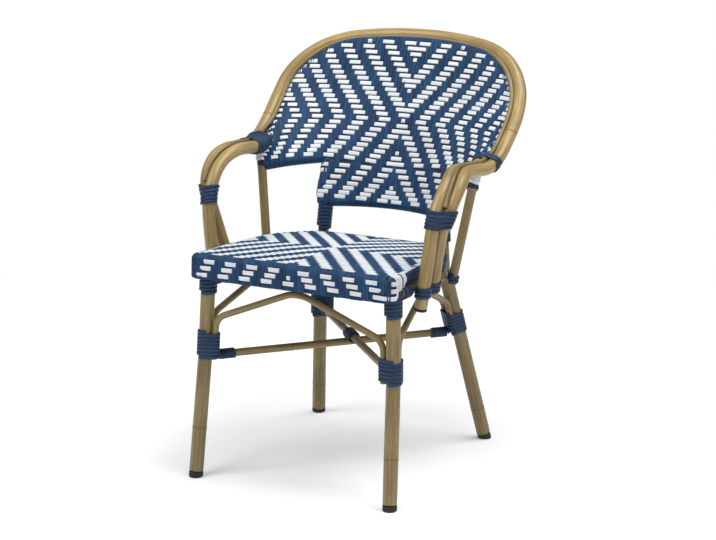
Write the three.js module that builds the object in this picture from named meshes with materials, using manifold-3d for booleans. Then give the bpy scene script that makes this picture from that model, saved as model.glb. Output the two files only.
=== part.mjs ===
// Rattan bistro chair: a stacking cafe armchair of bamboo-look tubes with a woven
// seat and back, its joints bound with flat cord.
// Millimetres, +Z up. The sitter faces -Y and +X is the sitter's left hand seen from
// the front, where it lies to the right. The floor is z = 0.
import * as THREE from "three";
import Module from "manifold-3d";
import { mergeVertices } from "three/addons/utils/BufferGeometryUtils.js";

const wasm = await Module();
wasm.setup();

// Clearances shared by all pieces
const seatGap = 0.3;
const weaveGap = 0.4;

// Tube diameters
const legDiameter = 28;
const armDiameter = 25;
const hoopDiameter = 25;
const beadDiameter = 9;
const backFrameDiameter = 18;
const sidePostDiameter = 18;
const backPostDiameter = 22;
const seatRingDiameter = 20;
const seatRailDiameter = 20;
const apronRailDiameter = 12;
const crossBarDiameter = 14;
const stretcherDiameter = 15;
const archDiameter = 13;

// Woven seat: outline seen from above, height and depth of its hanging edge
const seatFrontHalfWidth = 222;
const seatRearHalfWidth = 205;
const seatFrontReach = 237;
const seatRearReach = 154;
const seatFrontBow = 13;
const seatCornerRadius = 9;
const seatFrontHeight = 457;
const seatFall = 32.5;
const seatRearHeight = seatFrontHeight - seatFall;
const seatWeaveThickness = 4.5;
const seatEdgeRadius = 12;
const seatCrown = 5;
const seatApronDepth = 54;
const seatSkirtDepth = 29;
const seatApronReturn = 26;
const seatRingBend = 12;
const seatRailDrop = 43;
const seatRailInset = 12;
const crossBarBackStep = 195;

// Braces and stretchers: how far each height lies from the seat, or from the braces' feet
const archFootDrop = 219;
const archFootHeight = seatFrontHeight - archFootDrop;
const kneeRise = 2;
const frontKneeHeight = archFootHeight + kneeRise;
const stretcherRise = 3;
const stretcherHeight = archFootHeight + stretcherRise;
const archElbowRise = 81;
const archElbowHeight = archFootHeight + archElbowRise;
const rearArchElbowRise = 68;
const rearArchElbowHeight = archFootHeight + rearArchElbowRise;
const sideArchCrownDrop = 91;
const sideArchCrownHeight = seatFrontHeight - sideArchCrownDrop;
const rearArchCrownDrop = 79.5;
const rearArchCrownHeight = seatRearHeight - rearArchCrownDrop;

// Legs: where each one stands and leans
const frontFootHalfSpan = 213;
const frontFootReach = 239;
const frontKneeHalfSpan = 205;
const frontKneeReach = 209;
const frontLegTopReach = 198;
const rearFootHalfSpan = 194.7;
const rearFootReach = 239.5;
const rearLegTopHalfSpan = 140.5;
const rearLegTopReach = 151.5;
const footCapHeight = 12;
const footCapChamfer = 2;

// Bends of the braces that arch up from the legs
const archElbowRadius = 34;
const rearArchElbowRadius = 22;
const archCrownRadius = 60;
const archCrownHalfLength = 22;

// Height of the arms over the seat
const armRise = 155;
const armHeight = seatFrontHeight + armRise;

// Back: a surface that leans back and wraps round the sitter, tighter at the bottom
const backFootRise = 57.5;
const backFootHeight = seatRearHeight + backFootRise;
const backFootReach = 193;
const backHeight = 328.5;
const backLean = 151.5;
const backBowShare = 0.28;
const backLowRadius = 238;
const backTopRadius = 645;
const backBlendRise = 138;
const backBlendHeight = backFootHeight + backBlendRise;
const backBlendLength = 32;
const backWeaveThickness = 6;
const backWrapThickness = 3.6;
const backHoopWall = 3;

// Back outline, measured along the curved surface
const hoopHalfWidth = 291;
const wingInset = 15;
const wingHalfWidth = hoopHalfWidth - wingInset;
const wingRailDrop = 46.4;
const wingRailHeight = armHeight - wingRailDrop;
const tailRailRise = 68.1;
const tailRailHeight = seatRearHeight + tailRailRise;
const tailHalfWidth = 138.4;
const tailUpperBend = 24;
const tailLowerBend = 12;

// Arms
const armFrontReach = 132;
const armFootDrop = 59;
const armFootHeight = seatFrontHeight - armFootDrop;
const armFootLength = 26;
const armFootEnd = armFootHeight - armFootLength;
const outerArmFootLength = 13;
const outerArmFootEnd = armFootHeight - outerArmFootLength;
const outerArmFootReach = 82;
const armPlugHeight = 5;
const armPairGap = 1.8;
const armWrapSlack = 2.4;
const armCordSlack = 0.5;
const strapSlack = 1.15;
const armLean = 0.164;
const outerArmLean = 0.184;

// Side posts that carry the wings, and back posts that carry the tail
const sidePostReach = 46.5;
const sidePostFootDrop = 49.5;
const sidePostFoot = seatRearHeight - sidePostFootDrop;
const sidePostBindingLength = 25;
const sidePostBindingTop = sidePostFoot + sidePostBindingLength;

// Flat binding cord
const armSampleCount = 120;
const coreShares = [0, 0.25, 0.5, 0.75, 1];
const legBindingDip = 2;
const legBindingFoot = archFootHeight - legBindingDip;
const legBindingLength = 53;
const legBindingTop = legBindingFoot + legBindingLength;
const legTopBindingDrop = 93;
const legTopBindingFoot = seatFrontHeight - legTopBindingDrop;
const legTopBindingLength = 35;
const legTopBindingHead = legTopBindingFoot + legTopBindingLength;
const armWrapDrop = 52;
const armWrapTop = armHeight - armWrapDrop;
const armWrapLength = 41;
const armWrapFoot = armWrapTop - armWrapLength;
const armFootBindingDip = 12;
const armFootBindingFoot = armFootHeight - armFootBindingDip;
const armFootBindingLength = 25;
const armFootBindingHead = armFootBindingFoot + armFootBindingLength;
const backPostTopRise = 4;
const backPostBindingRise = 1.5;
const backPostBindingFoot = seatRearHeight + backPostBindingRise;
const backPostBindingDrop = 12.6;
const backPostBindingHead = tailRailHeight - backPostBindingDrop;
const strapFromShare = 1.5;
const strapToShare = 2.42;
const stretcherBindingStart = 5;
const stretcherBindingLength = 31;
const crossingSetback = 9;
const crossingBindingLength = 18;
const cordWidth = 6.6;
const cordThickness = 2.8;
const cordPitch = 7.3;
const smallCordWidth = 5;
const smallCordThickness = 2.2;
const smallCordPitch = 5.7;

// How finely each kind of surface is divided
const steps = { hoop: 44, arm: 22, bead: 46, arch: 16, frame: 27, rail: 26, winding: 10, slim: 7 };
const sides = { leg: 12, arm: 8, hoop: 8, frame: 8, thin: 6, bead: 5, small: 8 };

// Derived radii
const legRadius = legDiameter / 2;
const armRadius = armDiameter / 2;
const hoopRadius = hoopDiameter / 2;
const beadRadius = beadDiameter / 2;
const backFrameRadius = backFrameDiameter / 2;
const sidePostRadius = sidePostDiameter / 2;
const backPostRadius = backPostDiameter / 2;
const seatRingRadius = seatRingDiameter / 2;
const seatRailRadius = seatRailDiameter / 2;
const apronRailRadius = apronRailDiameter / 2;
const crossBarRadius = crossBarDiameter / 2;
const stretcherRadius = stretcherDiameter / 2;
const archRadius = archDiameter / 2;
const stretcherOver = stretcherHeight + stretcherDiameter + seatGap;

// Finishes
const bambooFinish = new THREE.MeshStandardMaterial({ color: 0x9c7f4c, roughness: 0.42, metalness: 0 });
const blueCordFinish = new THREE.MeshStandardMaterial({ color: 0x22406e, roughness: 0.5, metalness: 0 });
const weaveFinish = new THREE.MeshStandardMaterial({ color: 0x3d5a88, roughness: 0.55, metalness: 0 });
const capFinish = new THREE.MeshStandardMaterial({ color: 0x1b1b1d, roughness: 0.6, metalness: 0 });

const chair = new THREE.Group();
const up = new THREE.Vector3(0, 0, 1);
const mirror = new THREE.Vector3(-1, 1, 1);
const both = [["right", 1], ["left", -1]];

function point(x, y, z) {
  return new THREE.Vector3(x, y, z);
}

function lerp(a, b, share) {
  return a + (b - a) * share;
}

function smooth(share) {
  const s = Math.min(Math.max(share, 0), 1);
  return s * s * (3 - 2 * s);
}

// The same points on the other side of the chair, x changed in sign for side -1
function onSide(points, side) {
  return side > 0 ? points.map((p) => p.clone()) : points.map((p) => p.clone().multiply(mirror));
}

function add(name, geometry, material) {
  const mesh = new THREE.Mesh(geometry, material);
  mesh.name = name;
  chair.add(mesh);
  return mesh;
}

// Closed skin over rows of points: every row is a loop, and the first and last are capped
function loftLoops(rows) {
  const count = rows[0].length;
  const positions = [];
  const index = [];
  rows.forEach((row) => row.forEach((p) => positions.push(p.x, p.y, p.z)));
  for (let r = 0; r < rows.length - 1; r += 1) {
    for (let c = 0; c < count; c += 1) {
      const next = (c + 1) % count;
      const a = r * count + c;
      const b = r * count + next;
      index.push(a, b, b + count, a, b + count, a + count);
    }
  }
  [[0, true], [rows.length - 1, false]].forEach(([r, first]) => {
    const middle = positions.length / 3;
    const centre = rows[r].reduce((sum, p) => sum.add(p), point(0, 0, 0)).divideScalar(count);
    positions.push(centre.x, centre.y, centre.z);
    for (let c = 0; c < count; c += 1) {
      const a = r * count + c;
      const b = r * count + ((c + 1) % count);
      index.push(...(first ? [b, a, middle] : [a, b, middle]));
    }
  });
  const geometry = new THREE.BufferGeometry();
  geometry.setAttribute("position", new THREE.Float32BufferAttribute(positions, 3));
  geometry.setIndex(index);
  return geometry;
}

// Tube that closes on itself through a loop of points, as a welded ring does
function ringTube(points, radius, sideCount) {
  const count = points.length;
  const positions = [];
  const index = [];
  points.forEach((p, i) => {
    const before = points[(i + count - 1) % count];
    const after = points[(i + 1) % count];
    const along = after.clone().sub(before).normalize();
    const out = along.clone().cross(up).normalize();
    const rise = out.clone().cross(along).normalize();
    for (let k = 0; k < sideCount; k += 1) {
      const angle = (2 * Math.PI * k) / sideCount;
      const q = p.clone().addScaledVector(out, radius * Math.cos(angle));
      q.addScaledVector(rise, radius * Math.sin(angle));
      positions.push(q.x, q.y, q.z);
    }
  });
  for (let i = 0; i < count; i += 1) {
    for (let k = 0; k < sideCount; k += 1) {
      const a = i * sideCount + k;
      const b = i * sideCount + ((k + 1) % sideCount);
      const c = ((i + 1) % count) * sideCount + k;
      const d = ((i + 1) % count) * sideCount + ((k + 1) % sideCount);
      index.push(a, d, b, a, c, d);
    }
  }
  const geometry = new THREE.BufferGeometry();
  geometry.setAttribute("position", new THREE.Float32BufferAttribute(positions, 3));
  geometry.setIndex(index);
  return geometry;
}

// Round bar of a given number of sides along an open curve
function tube(curve, radius, stepCount, sideCount) {
  const section = new THREE.Shape();
  for (let k = 0; k < sideCount; k += 1) {
    const angle = (2 * Math.PI * k) / sideCount;
    const x = radius * Math.cos(angle);
    const y = radius * Math.sin(angle);
    if (k === 0) section.moveTo(x, y);
    else section.lineTo(x, y);
  }
  section.closePath();
  return new THREE.ExtrudeGeometry(section, { steps: stepCount, extrudePath: curve, bevelEnabled: false });
}

function smoothCurve(points) {
  return new THREE.CatmullRomCurve3(points, false, "centripetal");
}

// Straight stretches joined by bends of the given radii at the inner points
function bentPath(points, radii) {
  const path = new THREE.CurvePath();
  let start = points[0];
  for (let i = 1; i < points.length - 1; i += 1) {
    const corner = points[i];
    const back = points[i - 1].clone().sub(corner).normalize();
    const ahead = points[i + 1].clone().sub(corner).normalize();
    const half = Math.acos(THREE.MathUtils.clamp(back.dot(ahead), -1, 1)) / 2;
    const run = radii[i - 1] / Math.tan(half);
    const room = Math.min(points[i - 1].distanceTo(corner), points[i + 1].distanceTo(corner)) / 2;
    const reach = Math.min(run, room);
    const enter = corner.clone().addScaledVector(back, reach);
    const leave = corner.clone().addScaledVector(ahead, reach);
    path.add(new THREE.LineCurve3(start, enter));
    path.add(new THREE.QuadraticBezierCurve3(enter, corner, leave));
    start = leave;
  }
  path.add(new THREE.LineCurve3(start, points[points.length - 1]));
  return path;
}

// Tube that stands up with level ends: a stack of level circles through the points
function standingTube(points, radius, sideCount) {
  return loftLoops(points.map((p) => levelCircle(p, radius, sideCount)));
}

function levelCircle(centre, radius, sideCount) {
  const loop = [];
  for (let k = 0; k < sideCount; k += 1) {
    const angle = (2 * Math.PI * (k + 1 / 2)) / sideCount;
    loop.push(point(centre.x + radius * Math.cos(angle), centre.y + radius * Math.sin(angle), centre.z));
  }
  return loop;
}

// Solids for cutting and joining
function solidOf(geometry) {
  const bare = geometry.clone();
  bare.deleteAttribute("normal");
  bare.deleteAttribute("uv");
  const merged = mergeVertices(bare, 1e-4);
  return new wasm.Manifold(new wasm.Mesh({
    numProp: 3,
    vertProperties: new Float32Array(merged.attributes.position.array),
    triVerts: new Uint32Array(merged.index.array),
  }));
}

function geometryOf(solid) {
  const mesh = solid.getMesh();
  const geometry = new THREE.BufferGeometry();
  geometry.setAttribute("position", new THREE.Float32BufferAttribute(mesh.vertProperties, 3));
  geometry.setIndex(new THREE.BufferAttribute(mesh.triVerts, 1));
  return geometry;
}

// Point at a share of the way along a polyline that runs up or down, found by its height
function atHeight(points, z) {
  for (let i = 0; i < points.length - 1; i += 1) {
    const a = points[i];
    const b = points[i + 1];
    if ((z - a.z) * (z - b.z) <= 0) return a.clone().lerp(b, (z - a.z) / (b.z - a.z));
  }
  const last = points.length - 1;
  const near = Math.abs(z - points[0].z) < Math.abs(z - points[last].z) ? [0, 1] : [last - 1, last];
  const a = points[near[0]];
  const b = points[near[1]];
  return a.clone().lerp(b, (z - a.z) / (b.z - a.z));
}

// Flat cord wound round one or more bars that run side by side. Each core gives its
// middle at a share of its length, and its radius. The cord follows the outside of all
// of them together.
function winding(cores, turns, cord, stepCount) {
  const axis = cores.reduce((sum, core) => sum.add(core.at(1)).sub(core.at(0)), point(0, 0, 0)).normalize();
  const hint = Math.abs(axis.z) < 0.9 ? up : point(1, 0, 0);
  const sideways = hint.clone().cross(axis).normalize();
  const forward = axis.clone().cross(sideways);
  const lift = (seatGap + cord.thickness / 2);
  const total = Math.round(turns * stepCount);
  const spots = [];
  for (let i = 0; i <= total; i += 1) {
    const share = i / total;
    const angle = (2 * Math.PI * (i + 1 / 2)) / stepCount;
    const out = sideways.clone().multiplyScalar(Math.cos(angle)).addScaledVector(forward, Math.sin(angle));
    let best = null;
    cores.forEach((core) => {
      const centre = core.at(share);
      const reach = centre.dot(out) + core.radius;
      if (!best || reach > best.reach) best = { reach, centre, radius: core.radius };
    });
    const radius = (best.radius + lift) / Math.cos(Math.PI / stepCount);
    spots.push({ at: best.centre.addScaledVector(out, radius), out });
  }
  const lead = (from, to, out) => {
    const run = to.at.clone().sub(from.at).normalize();
    return { at: to.at.clone().addScaledVector(run, cord.width), out };
  };
  spots.unshift(lead(spots[1], spots[0], spots[0].out));
  spots.push(lead(spots[spots.length - 2], spots[spots.length - 1], spots[spots.length - 1].out));
  const rows = spots.map(({ at, out }) => {
    const corner = (w, t) => at.clone().addScaledVector(axis, (w * cord.width) / 2)
      .addScaledVector(out, (t * cord.thickness) / 2);
    return [corner(-1, -1), corner(-1, 1), corner(1, 1), corner(1, -1)];
  });
  return { geometry: outward(loftLoops(rows)), gap: leastGap(spots, stepCount, cord) };
}

// Turns a skin whose volume comes out negative the right way round
function outward(geometry) {
  const p = geometry.attributes.position;
  const index = geometry.index.array;
  const corner = (i) => point(p.getX(i), p.getY(i), p.getZ(i));
  let volume = 0;
  for (let i = 0; i < index.length; i += 3) {
    volume += corner(index[i]).dot(corner(index[i + 1]).cross(corner(index[i + 2])));
  }
  if (volume < 0) {
    for (let i = 0; i < index.length; i += 3) [index[i], index[i + 1]] = [index[i + 1], index[i]];
  }
  return geometry;
}

// Least distance between points of a cord half a turn or more apart, less its width
function leastGap(spots, stepCount, cord) {
  let least = Infinity;
  for (let i = 0; i < spots.length; i += 1) {
    for (let j = i + Math.ceil(stepCount / 2); j < spots.length; j += 1) {
      least = Math.min(least, spots[i].at.distanceTo(spots[j].at) - cord.width);
    }
  }
  return least;
}

const wideCord = { width: cordWidth, thickness: cordThickness, pitch: cordPitch };
const slimCord = { width: smallCordWidth, thickness: smallCordThickness, pitch: smallCordPitch };

function straightCore(start, end, radius) {
  return { at: (share) => start.clone().lerp(end, share), radius };
}

// Winds the cord over a stretch of bars. The turns fill the stretch at the cord's pitch.
function addWinding(name, cores, cord, stepCount) {
  const length = cores[0].at(0).distanceTo(cores[0].at(1));
  const turns = Math.max(1, Math.floor((length - cord.width) / cord.pitch));
  const slack = (length - turns * cord.pitch) / 2 / length;
  const trimmed = cores.map((core) => ({
    at: (share) => core.at(lerp(slack, 1 - slack, share)),
    radius: core.radius,
  }));
  const { geometry, gap } = winding(trimmed, turns, cord, stepCount);
  console.log(`${name}: ${turns} turns, least gap ${gap.toFixed(2)} mm`);
  add(name, geometry, blueCordFinish);
}

// The seat slopes down to the rear, and its front edge bows forwards
const seatMiddle = (seatRearReach - seatFrontReach) / 2;
const seatDepth = seatRearReach + seatFrontReach;

function seatTop(y) {
  return lerp(seatFrontHeight, seatRearHeight, (y + seatFrontReach) / seatDepth);
}

function seatFrontAt(x) {
  return -seatFrontReach + seatFrontBow * (x / seatFrontHalfWidth) ** 2;
}

// Outline from above: the front edge, a tight corner, then sides that draw in to the
// rear legs, as shares of the rear half width and of the way from middle to rear
const seatFrontShares = [0, 0.36, 0.7];
const seatCornerShares = [0, 0.25, 0.5, 0.75, 1];
const seatRearShares = [
  [1, 0], [0.996, 0.22], [0.976, 0.4], [0.937, 0.52], [0.875, 0.64], [0.804, 0.77],
  [0.742, 0.875], [0.683, 0.946], [0.59, 0.98], [0.39, 0.993], [0.2, 0.998], [0, 1],
];
const seatSideStart = seatFrontShares.length + seatCornerShares.length - 1;
const seatTaper = (seatFrontHalfWidth - seatRearHalfWidth) / (seatMiddle + seatFrontReach);
const seatSideReach = seatFrontAt(seatFrontHalfWidth) + seatCornerRadius + seatApronReturn;

// Half of the outline from the middle of the front to the middle of the rear, moved
// inwards by an inset. The front corner keeps at least the given bend.
function seatHalf(inset, bend) {
  const radius = Math.max(seatCornerRadius, inset + bend);
  const reach = seatFrontHalfWidth - radius;
  const centre = point(reach, seatFrontAt(reach) + radius, 0);
  const spots = seatFrontShares.map((share) => [
    point(reach * share, seatFrontAt(reach * share), 0), point(0, -1, 0)]);
  seatCornerShares.forEach((share) => {
    const angle = (-Math.PI / 2) * (1 - share);
    const out = point(Math.cos(angle), Math.sin(angle), 0);
    spots.push([centre.clone().addScaledVector(out, radius), out]);
  });
  spots.push([point(seatFrontHalfWidth, seatSideReach, 0), point(1, 0, 0)]);
  spots.forEach((spot) => {
    const [p, out] = spot;
    spot[0] = p.clone().setX(p.x - seatTaper * (p.y - inset * out.y + seatFrontReach) * Math.sign(p.x));
  });
  const rear = seatRearShares.map(([across, along]) => point(
    seatRearHalfWidth * across, lerp(seatMiddle, seatRearReach, along), 0));
  rear.forEach((p, i) => {
    const before = i > 0 ? rear[i - 1] : spots[spots.length - 1][0];
    const after = i < rear.length - 1 ? rear[i + 1] : rear[i - 1].clone().multiply(mirror);
    const along = after.clone().sub(before).normalize();
    spots.push([p, point(along.y, -along.x, 0)]);
  });
  return spots.map(([p, out]) => p.clone().addScaledVector(out, -inset));
}

// Half width of the outline, less an inset, at a distance from front to back
function seatSide(y, inset) {
  const side = seatHalf(inset, 0).slice(seatSideStart);
  const i = side.findIndex((p, k) => k < side.length - 1 && side[k + 1].y > y);
  return lerp(side[i].x, side[i + 1].x, (y - side[i].y) / (side[i + 1].y - side[i].y));
}

// The whole outline as a loop, shrunk about the seat's middle, below the sloping top
function seatLoop(inset, bend, shrink, dropAt) {
  const half = seatHalf(inset, bend);
  const loop = [...half, ...onSide(half.slice(1, -1), -1).reverse()];
  return loop.map((p) => {
    const y = lerp(seatMiddle, p.y, shrink);
    return point(p.x * shrink, y, seatTop(y) - dropAt(p));
  });
}

const seatRingInset = seatWeaveThickness + weaveGap + seatRingRadius;

function addSeatFrame() {
  const loop = seatLoop(seatRingInset, seatRingBend, 1, () => seatRingInset);
  add("seat_ring", outward(ringTube(loop, seatRingRadius, sides.frame)), bambooFinish);
}

// Front legs rise from splayed feet, inside the woven skirt, to the seat ring
const frontLegTop = seatTop(legRadius - frontLegTopReach) - seatRingInset - seatRingRadius - seatGap;
const skirtInset = seatWeaveThickness + weaveGap;
const frontLegTopHalfSpan = seatSide(-frontLegTopReach, skirtInset + legRadius + 3 * seatGap);
const frontLeg = [
  point(frontFootHalfSpan, -frontFootReach, 0),
  point(frontKneeHalfSpan, -frontKneeReach, frontKneeHeight),
  point(frontLegTopHalfSpan, -frontLegTopReach, frontLegTop),
];

// Rear legs lean in and forwards to the underside of the seat's lower rail
const rearLegTop = seatTop(rearLegTopReach + legRadius) - seatRailDrop - seatRailRadius - seatGap;
const rearLeg = [
  point(rearFootHalfSpan, rearFootReach, 0),
  point(rearLegTopHalfSpan, rearLegTopReach, rearLegTop),
];

function addLeg(name, leg, top, side) {
  const knee = leg.slice(1, -1);
  const points = [atHeight(leg, footCapHeight), ...knee, atHeight(leg, top)];
  add(name, standingTube(onSide(points, side), legRadius, sides.leg), bambooFinish);
}

function addFootCap(name, leg, side) {
  const foot = leg[0];
  const lip = atHeight(leg, footCapChamfer);
  const rim = atHeight(leg, footCapHeight - seatGap);
  const [a, b, c] = onSide([foot, lip, rim], side);
  const rows = [
    levelCircle(a, legRadius - footCapChamfer / 2, sides.leg),
    levelCircle(b, legRadius, sides.leg),
    levelCircle(c, legRadius, sides.leg),
  ];
  add(name, loftLoops(rows), capFinish);
}

// Lower rail: down both sides of the seat and round its rear, from leg to leg
const railFrontHeight = seatTop(-frontLegTopReach) - seatRailDrop;
const railStart = atHeight(frontLeg, railFrontHeight).y + legRadius + 2 * seatGap;

function addSeatRail() {
  const along = [railStart, lerp(railStart, seatMiddle, 1 / 2)];
  const side = along.map((y) => point(seatSide(y, seatRailInset), y, 0));
  const right = [...side, ...seatHalf(seatRailInset, 0).slice(seatSideStart + 2)];
  const left = onSide(right.slice(0, -1), -1).reverse();
  const line = [...right, ...left].map((p) => p.setZ(seatTop(p.y) - seatRailDrop));
  add("seat_rail", tube(smoothCurve(line), seatRailRadius, steps.rail, sides.frame), bambooFinish);
}

// Thin rail inside the bottom of the front apron, from leg to leg
const apronRailInset = seatWeaveThickness + weaveGap + apronRailRadius;
const apronRailDrop = seatApronDepth - apronRailRadius - seatGap;

function apronRailPoint(x) {
  const y = seatFrontAt(x) + apronRailInset;
  return point(x, y, seatTop(y) - apronRailDrop);
}

function addApronRail() {
  const leg = atHeight(frontLeg, seatTop(-frontLegTopReach) - apronRailDrop);
  const touch = legRadius + apronRailRadius + seatGap;
  const ahead = leg.y - apronRailPoint(leg.x - touch).y;
  const reach = leg.x - Math.sqrt(Math.max(touch ** 2 - ahead ** 2, 0));
  const points = [-1, -1 / 2, 0, 1 / 2, 1].map((share) => apronRailPoint(reach * share));
  add("apron_rail", tube(smoothCurve(points), apronRailRadius, sides.small, sides.thin), bambooFinish);
}

// Bar across the seat ring that holds up the weave
function addCrossBar() {
  const y = -seatFrontReach + crossBarBackStep;
  const reach = seatSide(y, seatRingInset) - seatRingRadius - 2 * seatGap;
  const z = seatTop(y) - seatRingInset;
  const curve = new THREE.LineCurve3(point(-reach, y, z), point(reach, y, z));
  add("seat_cross_bar", tube(curve, crossBarRadius, 1, sides.small), bambooFinish);
}

// Woven seat: a crowned top that rolls over the ring and hangs down, deeper in front
function skirtDepth(p) {
  const share = 1 - (p.y - seatFrontAt(p.x)) / seatApronReturn;
  return lerp(seatSkirtDepth, seatApronDepth, smooth(share));
}

function addSeatWeave() {
  const wall = seatWeaveThickness;
  const topShares = [0.2, 0.5, 0.8];
  const rollShares = [0, 1 / 3, 2 / 3, 1];
  const crown = (inset, lower) => topShares.map((share) => seatLoop(inset, wall, share,
    () => lower - seatCrown * Math.cos((share * Math.PI) / 2)));
  const roll = (radius, shift) => rollShares.map((share) => {
    const angle = (Math.PI / 2) * share;
    const inset = shift + radius * (1 - Math.sin(angle));
    return seatLoop(inset, wall, 1, () => shift + radius * (1 - Math.cos(angle)));
  });
  const outer = [...crown(seatEdgeRadius, 0), ...roll(seatEdgeRadius, 0)];
  const inner = [...crown(seatEdgeRadius, wall), ...roll(seatEdgeRadius - wall, wall)];
  const hems = [0, wall].map((inset) => seatLoop(inset, wall, 1, skirtDepth));
  let body = solidOf(outward(loftLoops([...outer, ...hems, ...inner.reverse()])));
  both.forEach(([, side]) => {
    body = body.subtract(solidOf(backPostTube(side, weaveGap)));
  });
  add("seat_weave", geometryOf(body), weaveFinish);
}

// Back surface. Height is measured from the floor, and the breadth along the curve.
function backCurvature(z) {
  const low = 1 / backLowRadius;
  const top = 1 / backTopRadius;
  return top + (low - top) / (1 + Math.exp((z - backBlendHeight) / backBlendLength));
}

function backReachAt(z) {
  const share = (z - backFootHeight) / backHeight;
  return backFootReach + backLean * ((1 - backBowShare) * share + backBowShare * share * share);
}

function backPoint(breadth, z) {
  const curvature = backCurvature(z);
  const angle = breadth * curvature;
  return point(Math.sin(angle) / curvature, backReachAt(z) - (1 - Math.cos(angle)) / curvature, z);
}

// Unit vector out of the back surface towards the sitter
function backFront(breadth, z) {
  const step = backFrameRadius / 4;
  const across = backPoint(breadth + step, z).sub(backPoint(breadth - step, z));
  const rise = backPoint(breadth, z + step).sub(backPoint(breadth, z - step));
  return across.cross(rise).normalize();
}

function offBack(breadth, z, offset) {
  return backPoint(breadth, z).addScaledVector(backFront(breadth, z), offset);
}

// Hoop line on the back surface from crown to side, as shares of its breadth and height
const hoopShares = [
  [0, 1], [0.21, 0.996], [0.405, 0.983], [0.57, 0.962], [0.72, 0.916],
  [0.845, 0.84], [0.93, 0.74], [0.968, 0.623], [1, 0.502], [1.06, 0.41],
];
const hoopFlat = hoopShares.map(([breadth, height]) => new THREE.Vector2(
  breadth * hoopHalfWidth, backFootHeight + height * backHeight));

// The same line moved inwards by a distance, still flat, and then off the surface
function hoopFlatInset(inset) {
  return hoopFlat.map((p, i) => {
    const before = hoopFlat[Math.max(i - 1, 0)];
    const after = hoopFlat[Math.min(i + 1, hoopFlat.length - 1)];
    const along = i === 0 ? new THREE.Vector2(1, 0) : after.clone().sub(before).normalize();
    return new THREE.Vector2(p.x + inset * along.y, p.y - inset * along.x);
  });
}

function hoopInset(inset, offset) {
  return hoopFlatInset(inset).map((p) => offBack(p.x, p.y, offset));
}

// Outer arm: carries on from the hoop, forwards and down to the seat's lower rail
const hoopEnd = backPoint(hoopFlat[hoopFlat.length - 2].x, hoopFlat[hoopFlat.length - 2].y);

// Distance from a bar's middle to the outside of the cord wound on it
function boundReach(radius, cord) {
  return (radius + seatGap + cord.thickness / 2) / Math.cos(Math.PI / steps.winding) + cord.thickness / 2;
}

// Where a bound bar stands beside the lower rail, with its cord between them
function besideRail(radius, y) {
  const lean = (seatSide(y - radius, seatRailInset) - seatSide(y + radius, seatRailInset)) / (2 * radius);
  const away = seatRailRadius + seatGap + boundReach(radius, wideCord);
  return seatSide(y, seatRailInset) + away * Math.hypot(1, lean);
}

const armOffset = armDiameter + armPairGap;
const boundArm = armRadius + armCordSlack;
const outerFoot = point(besideRail(boundArm, -outerArmFootReach), -outerArmFootReach, armFootHeight);
const innerFoot = point(besideRail(boundArm, -armFrontReach), -armFrontReach, armFootHeight);
const armSpread = hoopEnd.x;

// Shares of the arm's spread, of the reach from its foot to the hoop, and of its height
const outerArmShares = [
  [0.996, 0.83, 1.01], [0.985, 0.655, 0.99], [0.975, 0.46, 0.996], [0.978, 0.255, 1.002],
  [1, 0.13, 0.987], [1.004, 0.033, 0.957], [0.989, -0.04, 0.917], [0.967, -0.063, 0.883],
  [0.937, -0.072, 0.848],
];

function outerArmPoint([spread, reach, height]) {
  return point(armSpread * spread, lerp(outerFoot.y, hoopEnd.y, reach), armHeight * height);
}

const outerArmTop = outerArmShares.map(outerArmPoint);
const outerArmEnd = outerFoot.clone();
outerArmEnd.z = outerArmFootEnd;
outerArmEnd.x -= outerArmLean * (armFootHeight - outerArmFootEnd);

// Inner arm: beside the outer one on top, ahead of it at the wrap, and down to the rail
const innerArmTurnShares = [0, 0, 0.02, 0.12, 0.25, 0.39, 0.58, 0.77];
const innerArmTop = innerArmTurnShares.map((turn, i) => {
  const angle = (Math.PI / 2) * turn;
  const away = point(-Math.cos(angle), -Math.sin(angle), 0);
  return outerArmTop[i + 1].clone().addScaledVector(away, armOffset);
});
const innerArmEnd = innerFoot.clone();
innerArmEnd.z = armFootEnd;
innerArmEnd.x -= armLean * (armFootHeight - armFootEnd);

const outerArmLine = [...outerArmTop, outerFoot, outerArmEnd];
const innerArmLine = [...innerArmTop, innerFoot, innerArmEnd];

const hoopLine = hoopInset(0, 0).slice(0, -1);
const hoopCurve = smoothCurve([...onSide(hoopLine, -1).reverse(), ...hoopLine.slice(1)]);

// The outer arm leaves the hoop's end square and in line with it
function outerArmCurve(side) {
  const way = hoopLine[hoopLine.length - 1].clone().sub(hoopLine[hoopLine.length - 2]).normalize();
  const joint = [seatGap, hoopRadius].map((along) => hoopEnd.clone().addScaledVector(way, along));
  return smoothCurve(onSide([...joint, ...outerArmLine], side));
}

function addArmPlug(name, side) {
  const [above, end] = onSide([innerFoot, innerArmEnd], side);
  const way = end.clone().sub(above).normalize();
  const top = end.clone().addScaledVector(way, 2 * seatGap);
  const lip = top.clone().addScaledVector(way, armPlugHeight);
  add(name, tube(new THREE.LineCurve3(top, lip), armRadius, 1, sides.leg), capFinish);
}

function addArms() {
  add("back_hoop", tube(hoopCurve, hoopRadius, steps.hoop, sides.hoop), bambooFinish);
  both.forEach(([word, side]) => {
    add(`outer_arm_${word}`, tube(outerArmCurve(side), armRadius, steps.arm, sides.arm), bambooFinish);
    const inner = smoothCurve(onSide(innerArmLine, side));
    add(`inner_arm_${word}`, tube(inner, armRadius, steps.arm, sides.arm), bambooFinish);
  });
}

// Back posts stand on the rear legs, behind the seat, and carry the tail of the back
const tailCorner = backPoint(tailHalfWidth, tailRailHeight);
const postFoot = rearLeg[1].clone().setZ(rearLegTop + 2 * seatGap);
const postTop = point(tailCorner.x, tailCorner.y, tailRailHeight - backFrameRadius + backPostTopRise);

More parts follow.
